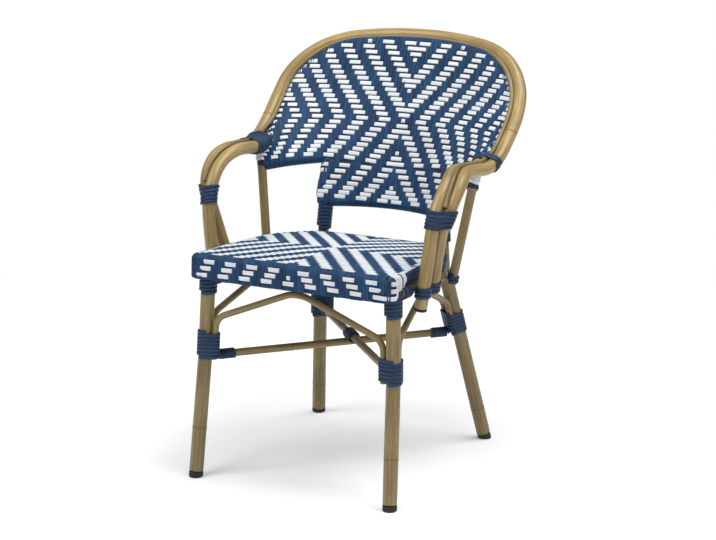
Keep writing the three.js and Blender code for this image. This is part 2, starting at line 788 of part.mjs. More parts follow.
function backPostTube(side, room) {
  const top = postTop.clone().setZ(postTop.z + room);
  return outward(standingTube(onSide([postFoot, top], side), backPostRadius + room, sides.leg));
}

// Frame tubes of the back that the weave wraps: an arch inside the hoop, and below it
// a rail that steps down round the tail
const backArchInset = hoopRadius + backHoopWall + backFrameRadius;
const backArchFlat = hoopFlatInset(backArchInset);
const backArchHalf = hoopInset(backArchInset, 0);
const backArchCurve = smoothCurve([...onSide(backArchHalf, -1).reverse(), ...backArchHalf.slice(1)]);

function wingRailCurve() {
  const corners = [
    [wingHalfWidth, wingRailHeight], [tailHalfWidth, wingRailHeight], [tailHalfWidth, tailRailHeight],
  ];
  const flat = [...corners, ...corners.map(([b, z]) => [-b, z]).reverse()];
  const bends = [tailUpperBend, tailLowerBend, tailLowerBend, tailUpperBend];
  const path = bentPath(flat.map(([b, z]) => point(b, z, 0)), bends);
  const spots = path.getSpacedPoints(steps.frame * 2);
  return new THREE.CatmullRomCurve3(spots.map((p) => backPoint(p.x, p.y)), false, "centripetal");
}

const lowerRailCurve = wingRailCurve();

// Side posts rise from the lower rail of the seat to the underside of the inner arms
const sidePostMiddle = point(besideRail(sidePostRadius, sidePostReach), sidePostReach,
  seatTop(sidePostReach) - seatRailDrop);
const sidePostTop = innerArmTop[0].clone();
sidePostTop.z -= boundReach(armRadius, wideCord) + 2 * seatGap;
const sidePost = [atHeight([sidePostMiddle, sidePostTop], sidePostFoot), sidePostTop];

// Trim bead in the groove between hoop and back, and on the arms between their tubes
const beadReach = beadRadius + seatGap;
const beadToHoop = hoopRadius + beadReach;
const beadToWrap = backFrameRadius + backWrapThickness + beadReach;
const beadInset = (backArchInset ** 2 + beadToHoop ** 2 - beadToWrap ** 2) / (2 * backArchInset);
const beadRise = Math.sqrt(beadToHoop ** 2 - beadInset ** 2);
const armBeadRise = Math.sqrt((armRadius + beadReach + 2 * seatGap) ** 2 - (armOffset / 2) ** 2);
const armBeadCount = 6;

const armBead = innerArmTop.slice(0, armBeadCount).map((inner, i) => {
  const outer = outerArmTop[i + 1];
  const along = outerArmTop[i + 2].clone().sub(outerArmTop[i]).normalize();
  const across = inner.clone().sub(outer).normalize();
  const rise = across.cross(along).normalize();
  return inner.clone().add(outer).divideScalar(2).addScaledVector(rise, armBeadRise);
});

function addBead() {
  const half = [...hoopInset(beadInset, beadRise).slice(0, -1), ...armBead];
  const curve = smoothCurve([...onSide(half, -1).reverse(), ...half.slice(1)]);
  add("trim_bead", tube(curve, beadRadius, steps.bead, sides.bead), bambooFinish);
}

function addBackFrame() {
  add("back_arch", tube(backArchCurve, backFrameRadius, steps.frame, sides.frame), bambooFinish);
  add("back_lower_rail", tube(lowerRailCurve, backFrameRadius, steps.frame, sides.frame), bambooFinish);
  both.forEach(([word, side]) => {
    const [foot, top] = onSide(sidePost, side);
    const sideCurve = new THREE.LineCurve3(foot, top);
    add(`side_post_${word}`, tube(sideCurve, sidePostRadius, 1, sides.leg), bambooFinish);
    add(`back_post_${word}`, backPostTube(side, 0), bambooFinish);
  });
}

// Sheet of weave between two heights on each of a row of breadths
function backSheet(breadths, low, high, rowCount) {
  const near = backFrameRadius + backWrapThickness;
  const far = near - backWeaveThickness;
  const rows = [];
  breadths.forEach((breadth) => {
    const heights = [];
    for (let r = 0; r <= rowCount; r += 1) heights.push(lerp(low(breadth), high(breadth), r / rowCount));
    const front = heights.map((z) => offBack(breadth, z, near));
    const back = heights.map((z) => offBack(breadth, z, far)).reverse();
    rows.push([...front, ...back]);
  });
  return solidOf(outward(loftLoops(rows)));
}

// Room beyond both ends of a bar inside the weave
function tipRooms(curve) {
  return [0, 1].map((share) => {
    const way = curve.getTangentAt(share).multiplyScalar(share - 1 / 2).normalize();
    const ends = [-backFrameRadius, weaveGap].map((along) => curve.getPointAt(share).addScaledVector(way, along));
    const radius = (backFrameRadius + weaveGap) / Math.cos(Math.PI / sides.leg);
    return solidOf(tube(new THREE.LineCurve3(ends[0], ends[1]), radius, 1, sides.leg));
  });
}

function archHeightAt(breadth) {
  const line = backArchFlat;
  const b = Math.abs(breadth);
  for (let i = 0; i < line.length - 1; i += 1) {
    if (b <= line[i + 1].x) {
      return lerp(line[i].y, line[i + 1].y, (b - line[i].x) / (line[i + 1].x - line[i].x));
    }
  }
  return line[line.length - 1].y;
}

function addBackWeave() {
  const wrap = backFrameRadius + backWrapThickness;
  const half = backArchFlat.map((p) => p.x);
  const breadths = [...half.slice(1).reverse().map((b) => -b), ...half];
  const wingRows = 5;
  const tailRows = 2;
  const tailBreadthShares = [-1, -0.5, 0, 0.5, 1];
  const tailBreadths = tailBreadthShares.map((share) => share * tailHalfWidth);
  const skins = [
    backSheet(breadths, () => wingRailHeight, archHeightAt, wingRows),
    backSheet(tailBreadths, () => tailRailHeight, () => wingRailHeight + wrap, tailRows),
    solidOf(tube(backArchCurve, wrap, steps.frame, sides.frame)),
    solidOf(tube(lowerRailCurve, wrap, steps.frame, sides.frame)),
  ];
  const cuts = [
    solidOf(tube(backArchCurve, backFrameRadius + weaveGap, steps.frame, sides.frame)),
    solidOf(tube(lowerRailCurve, backFrameRadius + weaveGap, steps.frame, sides.frame)),
    solidOf(tube(hoopCurve, hoopRadius + weaveGap, steps.hoop, sides.hoop)),
    ...tipRooms(backArchCurve),
    ...tipRooms(lowerRailCurve),
  ];
  both.forEach(([, side]) => {
    const [foot, top] = onSide([atHeight(sidePost, wingRailHeight - wrap), sidePost[1]], side);
    const below = top.clone().lerp(foot, seatGap / wrap);
    skins.push(solidOf(tube(new THREE.LineCurve3(foot, below), wrap, 1, sides.frame)));
    const [a, b] = onSide(sidePost, side);
    cuts.push(solidOf(tube(new THREE.LineCurve3(a, b), sidePostRadius + weaveGap, 1, sides.leg)));
    cuts.push(solidOf(backPostTube(side, weaveGap)));
    cuts.push(solidOf(tube(outerArmCurve(side), armRadius + weaveGap, steps.arm, sides.arm)));
  });
  const body = cuts.reduce((solid, cut) => solid.subtract(cut), wasm.Manifold.union(skins));
  add("back_weave", geometryOf(body.simplify(weaveGap / 8)), weaveFinish);
}

// Points beside a leg, pushed off it in the given level direction
const archBeside = legRadius + archRadius + seatGap;

function besideLeg(leg, z, way) {
  return atHeight(leg, z).addScaledVector(way, archBeside);
}

const inwards = point(-1, 0, 0);
const backwards = point(0, 1, 0);
const forwards = point(0, -1, 0);

// From a leg's middle to where a stretcher meets the cord that holds the leg and the feet
// of two braces together
function legBindingReach(run, way) {
  const level = run.clone().setZ(0).normalize();
  const sideways = Math.sign(level.x);
  const spread = [point(sideways, 0, 0), way].map((off) => archBeside * off.dot(level) + archRadius);
  const hull = Math.max(legRadius, ...spread);
  return hull + boundReach(0, wideCord) + seatGap + stretcherRadius * Math.tan(Math.PI / steps.winding);
}

// Crossed stretchers from each front leg to the opposite rear leg, one over the other
function addStretchers() {
  [["under", stretcherHeight, 1], ["over", stretcherOver, -1]].forEach(([word, z, side]) => {
    const front = onSide([atHeight(frontLeg, z)], -side)[0];
    const rear = onSide([atHeight(rearLeg, z)], side)[0];
    const run = rear.clone().sub(front).normalize();
    const a = front.clone().addScaledVector(run, legBindingReach(run, backwards));
    const b = rear.clone().addScaledVector(run, -legBindingReach(run.clone().negate(), forwards));
    add(`stretcher_${word}`, tube(new THREE.LineCurve3(a, b), stretcherRadius, 1, sides.leg), bambooFinish);
    [["front", a, run], ["rear", b, run.clone().negate()]].forEach(([end, tip, way]) => {
      const start = tip.clone().addScaledVector(way, stretcherBindingStart);
      const stop = start.clone().addScaledVector(way, stretcherBindingLength);
      const hand = (end === "front") === (side > 0) ? "left" : "right";
      const core = straightCore(start, stop, stretcherRadius);
      addWinding(`stretcher_binding_${end}_${hand}`, [core], slimCord, steps.slim);
    });
  });
}

// Brace that rises from beside one leg, bends towards the middle, crosses level at its
// crown and comes down beside the next leg
function addArch(name, points, fromRadius, toRadius) {
  const path = bentPath(points, [fromRadius, archCrownRadius, archCrownRadius, toRadius]);
  add(name, tube(path, archRadius, steps.arch, sides.thin), bambooFinish);
}

function addAcrossArch(name, leg, elbow, elbowRadius, crownReach, crownHeight) {
  const right = [archFootHeight, elbow].map((z) => besideLeg(leg, z, inwards));
  right.push(point(archCrownHalfLength, crownReach, crownHeight));
  addArch(name, [...right, ...onSide(right, -1).reverse()], elbowRadius, elbowRadius);
}

function addArches() {
  const front = apronRailPoint(0);
  const frontCrown = front.z - apronRailRadius - archRadius - 2 * seatGap;
  addAcrossArch("front_arch", frontLeg, archElbowHeight, archElbowRadius, front.y, frontCrown);
  const rearReach = atHeight(rearLeg, rearArchCrownHeight).y;
  addAcrossArch("rear_arch", rearLeg, rearArchElbowHeight, rearArchElbowRadius, rearReach, rearArchCrownHeight);
  both.forEach(([word, side]) => {
    const from = [archFootHeight, archElbowHeight].map((z) => besideLeg(frontLeg, z, backwards));
    const to = [archFootHeight, rearArchElbowHeight].map((z) => besideLeg(rearLeg, z, forwards));
    const middle = from[1].clone().lerp(to[1], 1 / 2).setZ(sideArchCrownHeight);
    const along = to[1].clone().sub(from[1]).setZ(0).normalize();
    const crown = [-1, 1].map((way) => middle.clone().addScaledVector(along, way * archCrownHalfLength));
    const points = onSide([...from, ...crown, ...to.reverse()], side);
    addArch(`side_arch_${word}`, points, archElbowRadius, rearArchElbowRadius);
  });
}

// A core for a winding: a bar's stretch between two heights
function barCore(points, from, to, radius, side) {
  const [start, end] = onSide([atHeight(points, from), atHeight(points, to)], side);
  return straightCore(start, end, radius);
}

// A core through points of a curve, even along its length
function evenCore(curve, radius) {
  const stretch = smoothCurve(coreShares.map((share) => curve(share)));
  return { at: (share) => stretch.getPointAt(share), radius };
}

// Core on an arm's way down, between two heights
function armCore(line, from, to, side, slack) {
  const points = smoothCurve(onSide(line, side)).getPoints(armSampleCount);
  return evenCore((share) => atHeight(points, lerp(from, to, share)), armRadius + slack);
}

function addLegBindings(word, side) {
  [["front", frontLeg, backwards], ["rear", rearLeg, forwards]].forEach(([end, leg, way]) => {
    const braces = [inwards, way].map((off) => leg.map((p) => p.clone().addScaledVector(off, archBeside)));
    const cores = [
      barCore(leg, legBindingFoot, legBindingTop, legRadius, side),
      barCore(braces[0], legBindingFoot, legBindingTop, archRadius + 2 * seatGap, side),
      barCore(braces[1], legBindingFoot, legBindingTop, archRadius + 2 * seatGap, side),
    ];
    addWinding(`leg_binding_${end}_${word}`, cores, wideCord, steps.winding);
  });
  const topCore = barCore(frontLeg, legTopBindingFoot, legTopBindingHead, legRadius, side);
  addWinding(`leg_top_binding_${word}`, [topCore], wideCord, steps.winding);
}

function addUpperBindings(word, side) {
  const wrap = [outerArmLine, innerArmLine].map((line) => armCore(line, armWrapTop, armWrapFoot, side,
    armWrapSlack));
  addWinding(`arm_wrap_${word}`, wrap, wideCord, steps.winding);
  const feet = [["outer", outerArmLine], ["inner", innerArmLine]];
  feet.forEach(([which, line]) => {
    const core = armCore(line, armFootBindingHead, armFootBindingFoot, side, armCordSlack);
    addWinding(`${which}_arm_binding_${word}`, [core], wideCord, steps.winding);
  });
  const strap = [[outerArmLine, armRadius, 1], [innerArmLine, armRadius, 0], [armBead, beadRadius, 0]];
  const strapCores = strap.map(([line, radius, ahead]) => {
    const curve = smoothCurve(onSide(line, side));
    const place = (share) => lerp(strapFromShare, strapToShare, share) - 1 + ahead;
    return evenCore((share) => curve.getPoint(place(share) / (line.length - 1)), radius + strapSlack);
  });
  addWinding(`arm_strap_${word}`, strapCores, wideCord, steps.winding);
  const postCore = barCore([postFoot, postTop], backPostBindingFoot, backPostBindingHead, backPostRadius, side);
  addWinding(`back_post_binding_${word}`, [postCore], wideCord, steps.slim);
  const sideCore = barCore(sidePost, sidePostFoot, sidePostBindingTop, sidePostRadius, side);
  addWinding(`side_post_binding_${word}`, [sideCore], wideCord, steps.winding);
  const linkStart = -(frontLegTopReach - boundReach(legRadius, wideCord) - seatGap);
  const linkEnd = innerFoot.y - boundReach(armRadius, wideCord) - seatGap;
  const [start, end] = onSide([linkStart, linkEnd].map((y) => point(seatSide(y, seatRailInset), y,
    seatTop(y) - seatRailDrop)), side);
  addWinding(`rail_binding_${word}`, [straightCore(start, end, seatRailRadius)], slimCord, steps.slim);
}

// Cord at the crossing of the stretchers, wound on the upper one behind the lower one
function addCrossingBinding() {
  const front = onSide([atHeight(frontLeg, stretcherOver)], 1)[0];
  const rear = onSide([atHeight(rearLeg, stretcherOver)], -1)[0];
  const run = rear.clone().sub(front).normalize();
  const middle = front.clone().lerp(rear, front.x / (front.x - rear.x));
  const start = middle.clone().addScaledVector(run, -crossingSetback - crossingBindingLength);
  const end = middle.clone().addScaledVector(run, -crossingSetback);
  addWinding("crossing_binding", [straightCore(start, end, stretcherRadius)], slimCord, steps.slim);
}

addSeatFrame();
addSeatRail();
addApronRail();
addCrossBar();
both.forEach(([word, side]) => {
  addLeg(`front_leg_${word}`, frontLeg, frontLegTop, side);
  addLeg(`rear_leg_${word}`, rearLeg, rearLegTop, side);
  addFootCap(`front_foot_cap_${word}`, frontLeg, side);
  addFootCap(`rear_foot_cap_${word}`, rearLeg, side);
  addArmPlug(`arm_plug_${word}`, side);
});
addArms();
addBead();
addBackFrame();
addStretchers();
addArches();
addSeatWeave();
addBackWeave();
both.forEach(([word, side]) => {
  addLegBindings(word, side);
  addUpperBindings(word, side);
});
addCrossingBinding();

// The origin lies on the floor under the middle of the chair's depth
const reach = new THREE.Box3().setFromObject(chair);
chair.position.y = -(reach.min.y + reach.max.y) / 2;

export default chair;
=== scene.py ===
"""Rattan bistro chair: woven panels, bamboo-look tubes, cord bindings and their finishes.

Shapes are worked out in millimetres, in the same place as the model's own solids, and
become metres only when a mesh is made. The floor is z = 0, the sitter faces -Y, and
"right" is the side towards +X.
"""

import logging
import math
from abc import ABC, abstractmethod
from dataclasses import dataclass, field
from enum import Enum
from functools import cached_property, partial
from typing import Callable, Sequence, Union

import bpy
import numpy as np
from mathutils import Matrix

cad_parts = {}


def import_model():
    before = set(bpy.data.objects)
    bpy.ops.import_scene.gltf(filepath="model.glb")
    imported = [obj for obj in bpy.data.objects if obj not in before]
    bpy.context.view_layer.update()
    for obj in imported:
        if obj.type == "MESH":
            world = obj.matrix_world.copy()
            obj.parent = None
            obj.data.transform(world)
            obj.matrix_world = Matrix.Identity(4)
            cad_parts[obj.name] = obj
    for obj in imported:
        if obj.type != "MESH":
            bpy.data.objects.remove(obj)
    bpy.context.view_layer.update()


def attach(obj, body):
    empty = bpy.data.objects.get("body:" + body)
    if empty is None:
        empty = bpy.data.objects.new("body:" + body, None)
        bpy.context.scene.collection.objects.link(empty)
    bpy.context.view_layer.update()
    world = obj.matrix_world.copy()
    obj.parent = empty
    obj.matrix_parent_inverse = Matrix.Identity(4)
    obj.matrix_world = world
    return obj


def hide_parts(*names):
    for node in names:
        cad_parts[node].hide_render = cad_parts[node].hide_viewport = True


log = logging.getLogger("bistro_chair")

Array = np.ndarray
Point = tuple[float, float, float]
Colour = tuple[float, float, float]
Held = Callable[[Array], Array]
Core = tuple[Callable[[Array], Array], float]

MILLIMETRE = 0.001
ORIGIN_SHIFT = -52.361
QUARTER = math.pi / 2
ROOT = "root"
WHITE = (1.0, 1.0, 1.0, 1.0)


class Side(Enum):
    """The two sides of the chair, with the sign of X there."""

    RIGHT = 1
    LEFT = -1

    @property
    def word(self) -> str:
        """The side's word in the names of pieces."""
        return self.name.lower()


class Slot(Enum):
    """Material slots of the record."""

    TUBE = "bamboo_tube"
    STRAND = "woven_strand"
    CORD = "blue_cord"
    CAP = "end_cap"


# ---------------------------------------------------------------- shader expressions


class Value:
    """A socket of a node, with arithmetic that adds Math nodes."""

    def __init__(self, board: "Board", socket: bpy.types.NodeSocket) -> None:
        """Keeps the board of nodes and the socket."""
        self.board = board
        self.socket = socket

    def other(self, output: int | str) -> "Value":
        """Another output of the same node."""
        return Value(self.board, self.socket.node.outputs[output])

    def _math(self, operation: str, *operands: Union["Value", float]) -> "Value":
        """One Math node on the given operands."""
        return self.board.node("ShaderNodeMath", {"operation": operation}, dict(enumerate(operands)))

    def __add__(self, other: Union["Value", float]) -> "Value":
        """Sum."""
        return self._math("ADD", self, other)

    def __radd__(self, other: float) -> "Value":
        """Sum, with the number first."""
        return self._math("ADD", other, self)

    def __mul__(self, other: Union["Value", float]) -> "Value":
        """Product."""
        return self._math("MULTIPLY", self, other)

    def __rmul__(self, other: float) -> "Value":
        """Product, with the number first."""
        return self._math("MULTIPLY", other, self)

    def cos(self) -> "Value":
        """Cosine."""
        return self._math("COSINE", self)

    def sin(self) -> "Value":
        """Sine."""
        return self._math("SINE", self)

    def ramp(self, low: float, high: float) -> "Value":
        """Rises from 0 at low to 1 at high, and stays between them."""
        settings = {"interpolation_type": "SMOOTHSTEP"}
        return self.board.node("ShaderNodeMapRange", settings, {0: self, 1: low, 2: high})


class Board:
    """The nodes of one material, or of the world."""

    def __init__(self, owner: bpy.types.ID) -> None:
        """Empties the nodes of a material or world.

        Args:
            owner: The material or world.
        """
        owner.use_nodes = True
        self.owner = owner
        self.tree = owner.node_tree
        self.tree.nodes.clear()

    def node(self, kind: str, settings: dict[str, object] | None = None,
             inputs: dict[int | str, object] | None = None, output: int | str = 0) -> Value:
        """Adds a node.

        Args:
            kind: Blender's name of the node type.
            settings: The node's own settings, set before its sockets.
            inputs: Values or links, by the sockets' names or numbers.
            output: The output socket that is wanted.

        Returns:
            The output socket, or the first input of a node that has no outputs.
        """
        made = self.tree.nodes.new(kind)
        for key, setting in (settings or {}).items():
            setattr(made, key, setting)
        for key, given in (inputs or {}).items():
            if isinstance(given, Value):
                self.tree.links.new(given.socket, made.inputs[key])
            else:
                made.inputs[key].default_value = given
        sockets = made.outputs or made.inputs
        return Value(self, sockets[output])

    def mix(self, share: Value, first: Value | Colour, second: Colour) -> Value:
        """Mixes two colours by a share from 0 to 1."""
        start = first if isinstance(first, Value) else (*first, 1.0)
        return self.node("ShaderNodeMix", {"data_type": "RGBA"}, {0: share, 6: start, 7: (*second, 1.0)}, 2)

    def attribute(self, name: str) -> Value:
        """A number that the mesh carries at its points."""
        return self.node("ShaderNodeAttribute", {"attribute_name": name}, output="Fac")

    def along_and_across(self) -> tuple[Value, Value]:
        """The piece's own UV map.

        Returns:
            Metres along a strand or tube, and the share round or across it.
        """
        spot = self.node("ShaderNodeUVMap", {"uv_map": "UVMap"})
        along = self.node("ShaderNodeSeparateXYZ", inputs={0: spot})
        return along, along.other(1)

    def vector(self, x: Value | float, y: Value | float, z: Value | float) -> Value:
        """Three numbers as one vector."""
        return self.node("ShaderNodeCombineXYZ", inputs={0: x, 1: y, 2: z})

    def noise(self, spot: Value, scale: float, detail: float) -> Value:
        """Soft noise about 0.5."""
        return self.node("ShaderNodeTexNoise", inputs={"Vector": spot, "Scale": scale, "Detail": detail})

    def place(self) -> Value:
        """Object coordinates."""
        return self.node("ShaderNodeTexCoord", output="Object")

    def bump(self, height: Value, strength: float, distance: float) -> Value:
        """Normal that follows a height."""
        inputs = {"Height": height, "Strength": strength, "Distance": distance}
        return self.node("ShaderNodeBump", inputs=inputs)

    def finish(self, **sockets: object) -> bpy.types.Material:
        """Puts the main shader on and returns the material.

        Args:
            sockets: Values or links of the main shader, with _ for a space in a name.

        Returns:
            The finished material.
        """
        inputs = {name.replace("_", " "): given for name, given in sockets.items()}
        return self.show(self.node("ShaderNodeBsdfPrincipled", inputs=inputs))

    def show(self, shader: Value, output: str = "ShaderNodeOutputMaterial") -> bpy.types.ID:
        """Links a shader to the output, and returns the material or world."""
        self.node(output, inputs={"Surface": shader})
        return self.owner


# ---------------------------------------------------------------- finishes


@dataclass(frozen=True)
class BambooFinish:
    """Lacquered bamboo look: streaks along the tube and dark rings at the knots."""

    name: str = "bamboo_lacquer"
    light: Colour = (0.480, 0.338, 0.128)
    dark: Colour = (0.228, 0.152, 0.048)
    ring: Colour = (0.10, 0.060, 0.024)
    streak_length: float = 9.0
    streak_count: float = 2.4
    fine_scale: float = 4.5
    cloud_scale: float = 9.0
    weights: tuple[float, float, float] = (0.55, 0.3, 0.4)
    contrast: tuple[float, float] = (0.45, 0.82)
    ring_strength: float = 0.8
    roughness: float = 0.36
    roughness_spread: float = 0.12
    relief: tuple[float, float] = (0.12, 0.0006)
    coat: float = 0.25
    coat_roughness: float = 0.22

    def material(self) -> bpy.types.Material:
        """Makes the material: streak noise runs on a cylinder of UV values, so it has no seam.

        Returns:
            The material.
        """
        board = Board(bpy.data.materials.new(self.name))
        along, around = board.along_and_across()
        angle = around * math.tau
        wrapped = board.vector(along * self.streak_length, angle.cos() * self.streak_count,
                               angle.sin() * self.streak_count)
        streak = board.noise(wrapped, 1.0, 4.0)
        fine = board.noise(wrapped, self.fine_scale, 3.0)
        cloud = board.noise(board.place(), self.cloud_scale, 2.0)
        parts = [part * weight for part, weight in zip((streak, fine, cloud), self.weights)]
        body = board.mix((parts[0] + parts[1] + parts[2]).ramp(*self.contrast), self.dark, self.light)
        colour = board.mix(board.attribute("knot") * self.ring_strength, body, self.ring)
        rough = self.roughness + fine * self.roughness_spread
        normal = board.bump(fine * 0.4 + streak * 0.6, *self.relief)
        return board.finish(Base_Color=colour, Roughness=rough, Normal=normal, Coat_Weight=self.coat,
                            Coat_Roughness=self.coat_roughness)


@dataclass(frozen=True)
class StrandFinish:
    """Flat plastic strand: faint drawn lines along it, a shade of its own on each strand, and painted shade
    in its grooves.
    """

    name: str
    light: Colour
    dark: Colour
    roughness: float
    # Colour of the painted shade in the grooves.
    shade: Colour = (0.004, 0.010, 0.028)
    line_count: float = 6.0
    line_length: float = 14.0
    wear_scale: float = 26.0
    contrast: tuple[float, float] = (0.45, 1.05)
    roughness_spread: float = 0.14
    relief: tuple[float, float] = (0.35, 0.0005)
    gloss: float = 0.5
    groove_count: int = 0
    groove_edge: tuple[float, float] = (0.25, 1.0)
    groove_shade_strength: float = 0.75

    def material(self) -> bpy.types.Material:
        """Makes the material: lines from noise stretched along the strand, the shade from the mesh.

        Returns:
            The material.
        """
        board = Board(bpy.data.materials.new(self.name))
        along, across = board.along_and_across()
        tone = board.attribute("tone")
        spot = board.vector(along * self.line_length, across * self.line_count, tone * 37.0)
        lines = board.noise(spot, 1.0, 2.0)
        wear = board.noise(board.place(), self.wear_scale, 3.0)
        share = (lines * 0.9 + wear * 0.35 + tone * 0.2).ramp(*self.contrast)
        colour = board.mix(share, self.dark, self.light)
        # Painted shade: darkens the strand's edges and the groove between its two thin strands, where shade
        # falls.
        if self.groove_count:
            groove = (across * (self.groove_count * math.tau)).cos().ramp(*self.groove_edge)
            colour = board.mix(groove * self.groove_shade_strength, colour, self.shade)
        rough = self.roughness + wear * self.roughness_spread
        return board.finish(Base_Color=colour, Roughness=rough, Normal=board.bump(lines, *self.relief),
                            Specular_IOR_Level=self.gloss)


@dataclass(frozen=True)
class MouldedFinish:
    """Moulded dark plastic or rubber with a fine grain; also the dark sheet of painted shade inside the
    weave.
    """

    name: str
    light: Colour
    dark: Colour
    roughness: float
    grain_scale: float = 900.0
    dust_scale: float = 60.0
    contrast: tuple[float, float] = (0.4, 0.75)
    roughness_spread: float = 0.15
    relief: tuple[float, float] = (0.2, 0.0004)

    def material(self) -> bpy.types.Material:
        """Makes the material: grain in the bump, and cloudy dust in the colour.

        Returns:
            The material.
        """
        board = Board(bpy.data.materials.new(self.name))
        grain = board.noise(board.place(), self.grain_scale, 2.0)
        dust = board.noise(board.place(), self.dust_scale, 4.0)
        colour = board.mix(dust.ramp(*self.contrast), self.dark, self.light)
        rough = self.roughness + dust * self.roughness_spread
        return board.finish(Base_Color=colour, Roughness=rough, Normal=board.bump(grain, *self.relief))


@dataclass(frozen=True)
class FloorFinish:
    """Pale studio floor that keeps the chair's shadow."""

    name: str = "studio_floor"
    colour: Colour = (0.93, 0.93, 0.935)
    lift: float = 0.20
    plain_reach: float = 0.9
    white_reach: float = 1.7

    def material(self) -> bpy.types.Material:
        """Makes the material: the camera sees a little light of the floor's own, and far off only that.

        Returns:
            The material.
        """
        board = Board(bpy.data.materials.new(self.name))
        plain = board.node("ShaderNodeBsdfDiffuse", inputs={"Color": (*self.colour, 1.0)})
        camera = board.node("ShaderNodeLightPath", output="Is Camera Ray")
        glow = board.node("ShaderNodeEmission", inputs={"Color": WHITE, "Strength": self.lift})
        near = board.node("ShaderNodeAddShader", inputs={0: plain, 1: glow})
        far = board.node("ShaderNodeEmission", inputs={"Color": WHITE, "Strength": 1.0})
        reach = board.node("ShaderNodeVectorMath", {"operation": "LENGTH"}, {0: board.place()}, "Value")
        share = reach.ramp(self.plain_reach, self.white_reach)
        seen = board.node("ShaderNodeMixShader", inputs={0: share, 1: near, 2: far})
        return board.show(board.node("ShaderNodeMixShader", inputs={0: camera, 1: plain, 2: seen}))


@dataclass
class Finishes:
    """All the finishes of the chair, each made once."""

    @cached_property
    def bamboo(self) -> bpy.types.Material:
        """Hoop, arms and bead."""
        return BambooFinish().material()

    @cached_property
    def leg_bamboo(self) -> bpy.types.Material:
        """Legs, posts and braces, a shade darker."""
        finish = BambooFinish("leg_bamboo_lacquer", (0.315, 0.226, 0.088), (0.150, 0.104, 0.035))
        return finish.material()

    @cached_property
    def white(self) -> bpy.types.Material:
        """White strands of the weave."""
        finish = StrandFinish("white_strand", (0.80, 0.83, 0.86), (0.64, 0.67, 0.70), 0.42)
        return finish.material()

    @cached_property
    def blue(self) -> bpy.types.Material:
        """Blue strands of the weave, with painted shade at their edges and in their middle groove."""
        tones = (0.021, 0.086, 0.200), (0.006, 0.031, 0.084)
        return StrandFinish("blue_strand", *tones, 0.46, gloss=0.26, groove_count=3).material()

    @cached_property
    def cord(self) -> bpy.types.Material:
        """Blue binding cord."""
        tones = (0.018, 0.054, 0.122), (0.006, 0.020, 0.052)
        return StrandFinish("blue_binding_cord", *tones, 0.42, line_count=5.0, gloss=0.35).material()

    @cached_property
    def shade(self) -> bpy.types.Material:
        """Painted shade: a dark sheet inside the weave, seen between strands."""
        return MouldedFinish("weave_painted_shade", (0.012, 0.026, 0.070), (0.006, 0.013, 0.038), 0.6).material()

    @cached_property
    def cap(self) -> bpy.types.Material:
        """Foot caps and arm plugs."""
        return MouldedFinish("dark_rubber", (0.022, 0.022, 0.024), (0.010, 0.010, 0.011), 0.5).material()


# ---------------------------------------------------------------- curves


def unit(vectors: Array) -> Array:
    """Vectors divided by their lengths."""
    return vectors / np.maximum(np.linalg.norm(vectors, axis=-1, keepdims=True), 1e-9)


def lerp(first: Array | float, second: Array | float, share: Array | float) -> Array | float:
    """Straight mix of two values."""
    return first + (second - first) * share


def smooth(share: Array | float) -> Array:
    """Ease from 0 to 1: 3 s squared less 2 s cubed, held at both ends."""
    held = np.clip(share, 0.0, 1.0)
    return held * held * (3.0 - 2.0 * held)


def run_lengths(path: Array) -> Array:
    """Distance along a polyline up to each of its points."""
    return np.concatenate([[0.0], np.cumsum(np.linalg.norm(np.diff(path, axis=0), axis=1))])


def at_runs(path: Array, runs: Array) -> Array:
    """Points of a polyline at given distances along it."""
    lengths = run_lengths(path)
    return np.stack([np.interp(runs, lengths, column) for column in path.T], axis=-1)


def even(path: Array, spacing: float) -> Array:
    """The polyline with points at an even spacing."""
    total = run_lengths(path)[-1]
    return at_runs(path, np.linspace(0.0, total, max(2, int(round(total / spacing)) + 1)))


def smooth_curve(points: Array, per_span: int = 24) -> Array:
    """Curve through points whose knots lie the square root of each distance apart.

    Each span is a cubic whose end slopes come from the neighbouring points, weighed by
    those knots. Beyond both ends the first and last steps are repeated.

    Args:
        points: The points, any number of columns.
        per_span: Stations on each span.

    Returns:
        The stations, one row each.
    """
    points = np.asarray(points, float)
    before = 2 * points[0] - points[1]
    after = 2 * points[-1] - points[-2]
    full = np.vstack([before, points, after])
    gaps = np.sqrt(np.linalg.norm(np.diff(full, axis=0), axis=1))[:, None]
    p0, p1, p2, p3 = full[:-3], full[1:-2], full[2:-1], full[3:]
    d0, d1, d2 = gaps[:-2], gaps[1:-1], gaps[2:]
    slope1 = ((p1 - p0) / d0 - (p2 - p0) / (d0 + d1) + (p2 - p1) / d1) * d1
    slope2 = ((p2 - p1) / d1 - (p3 - p1) / (d1 + d2) + (p3 - p2) / d2) * d1
    s = np.linspace(0.0, 1.0, per_span, endpoint=False)[None, :, None]
    cubic = (p1[:, None] + slope1[:, None] * s + (3 * (p2 - p1) - 2 * slope1 - slope2)[:, None] * s**2
             + (2 * (p1 - p2) + slope1 + slope2)[:, None] * s**3)
    return np.vstack([cubic.reshape(-1, points.shape[1]), points[-1]])


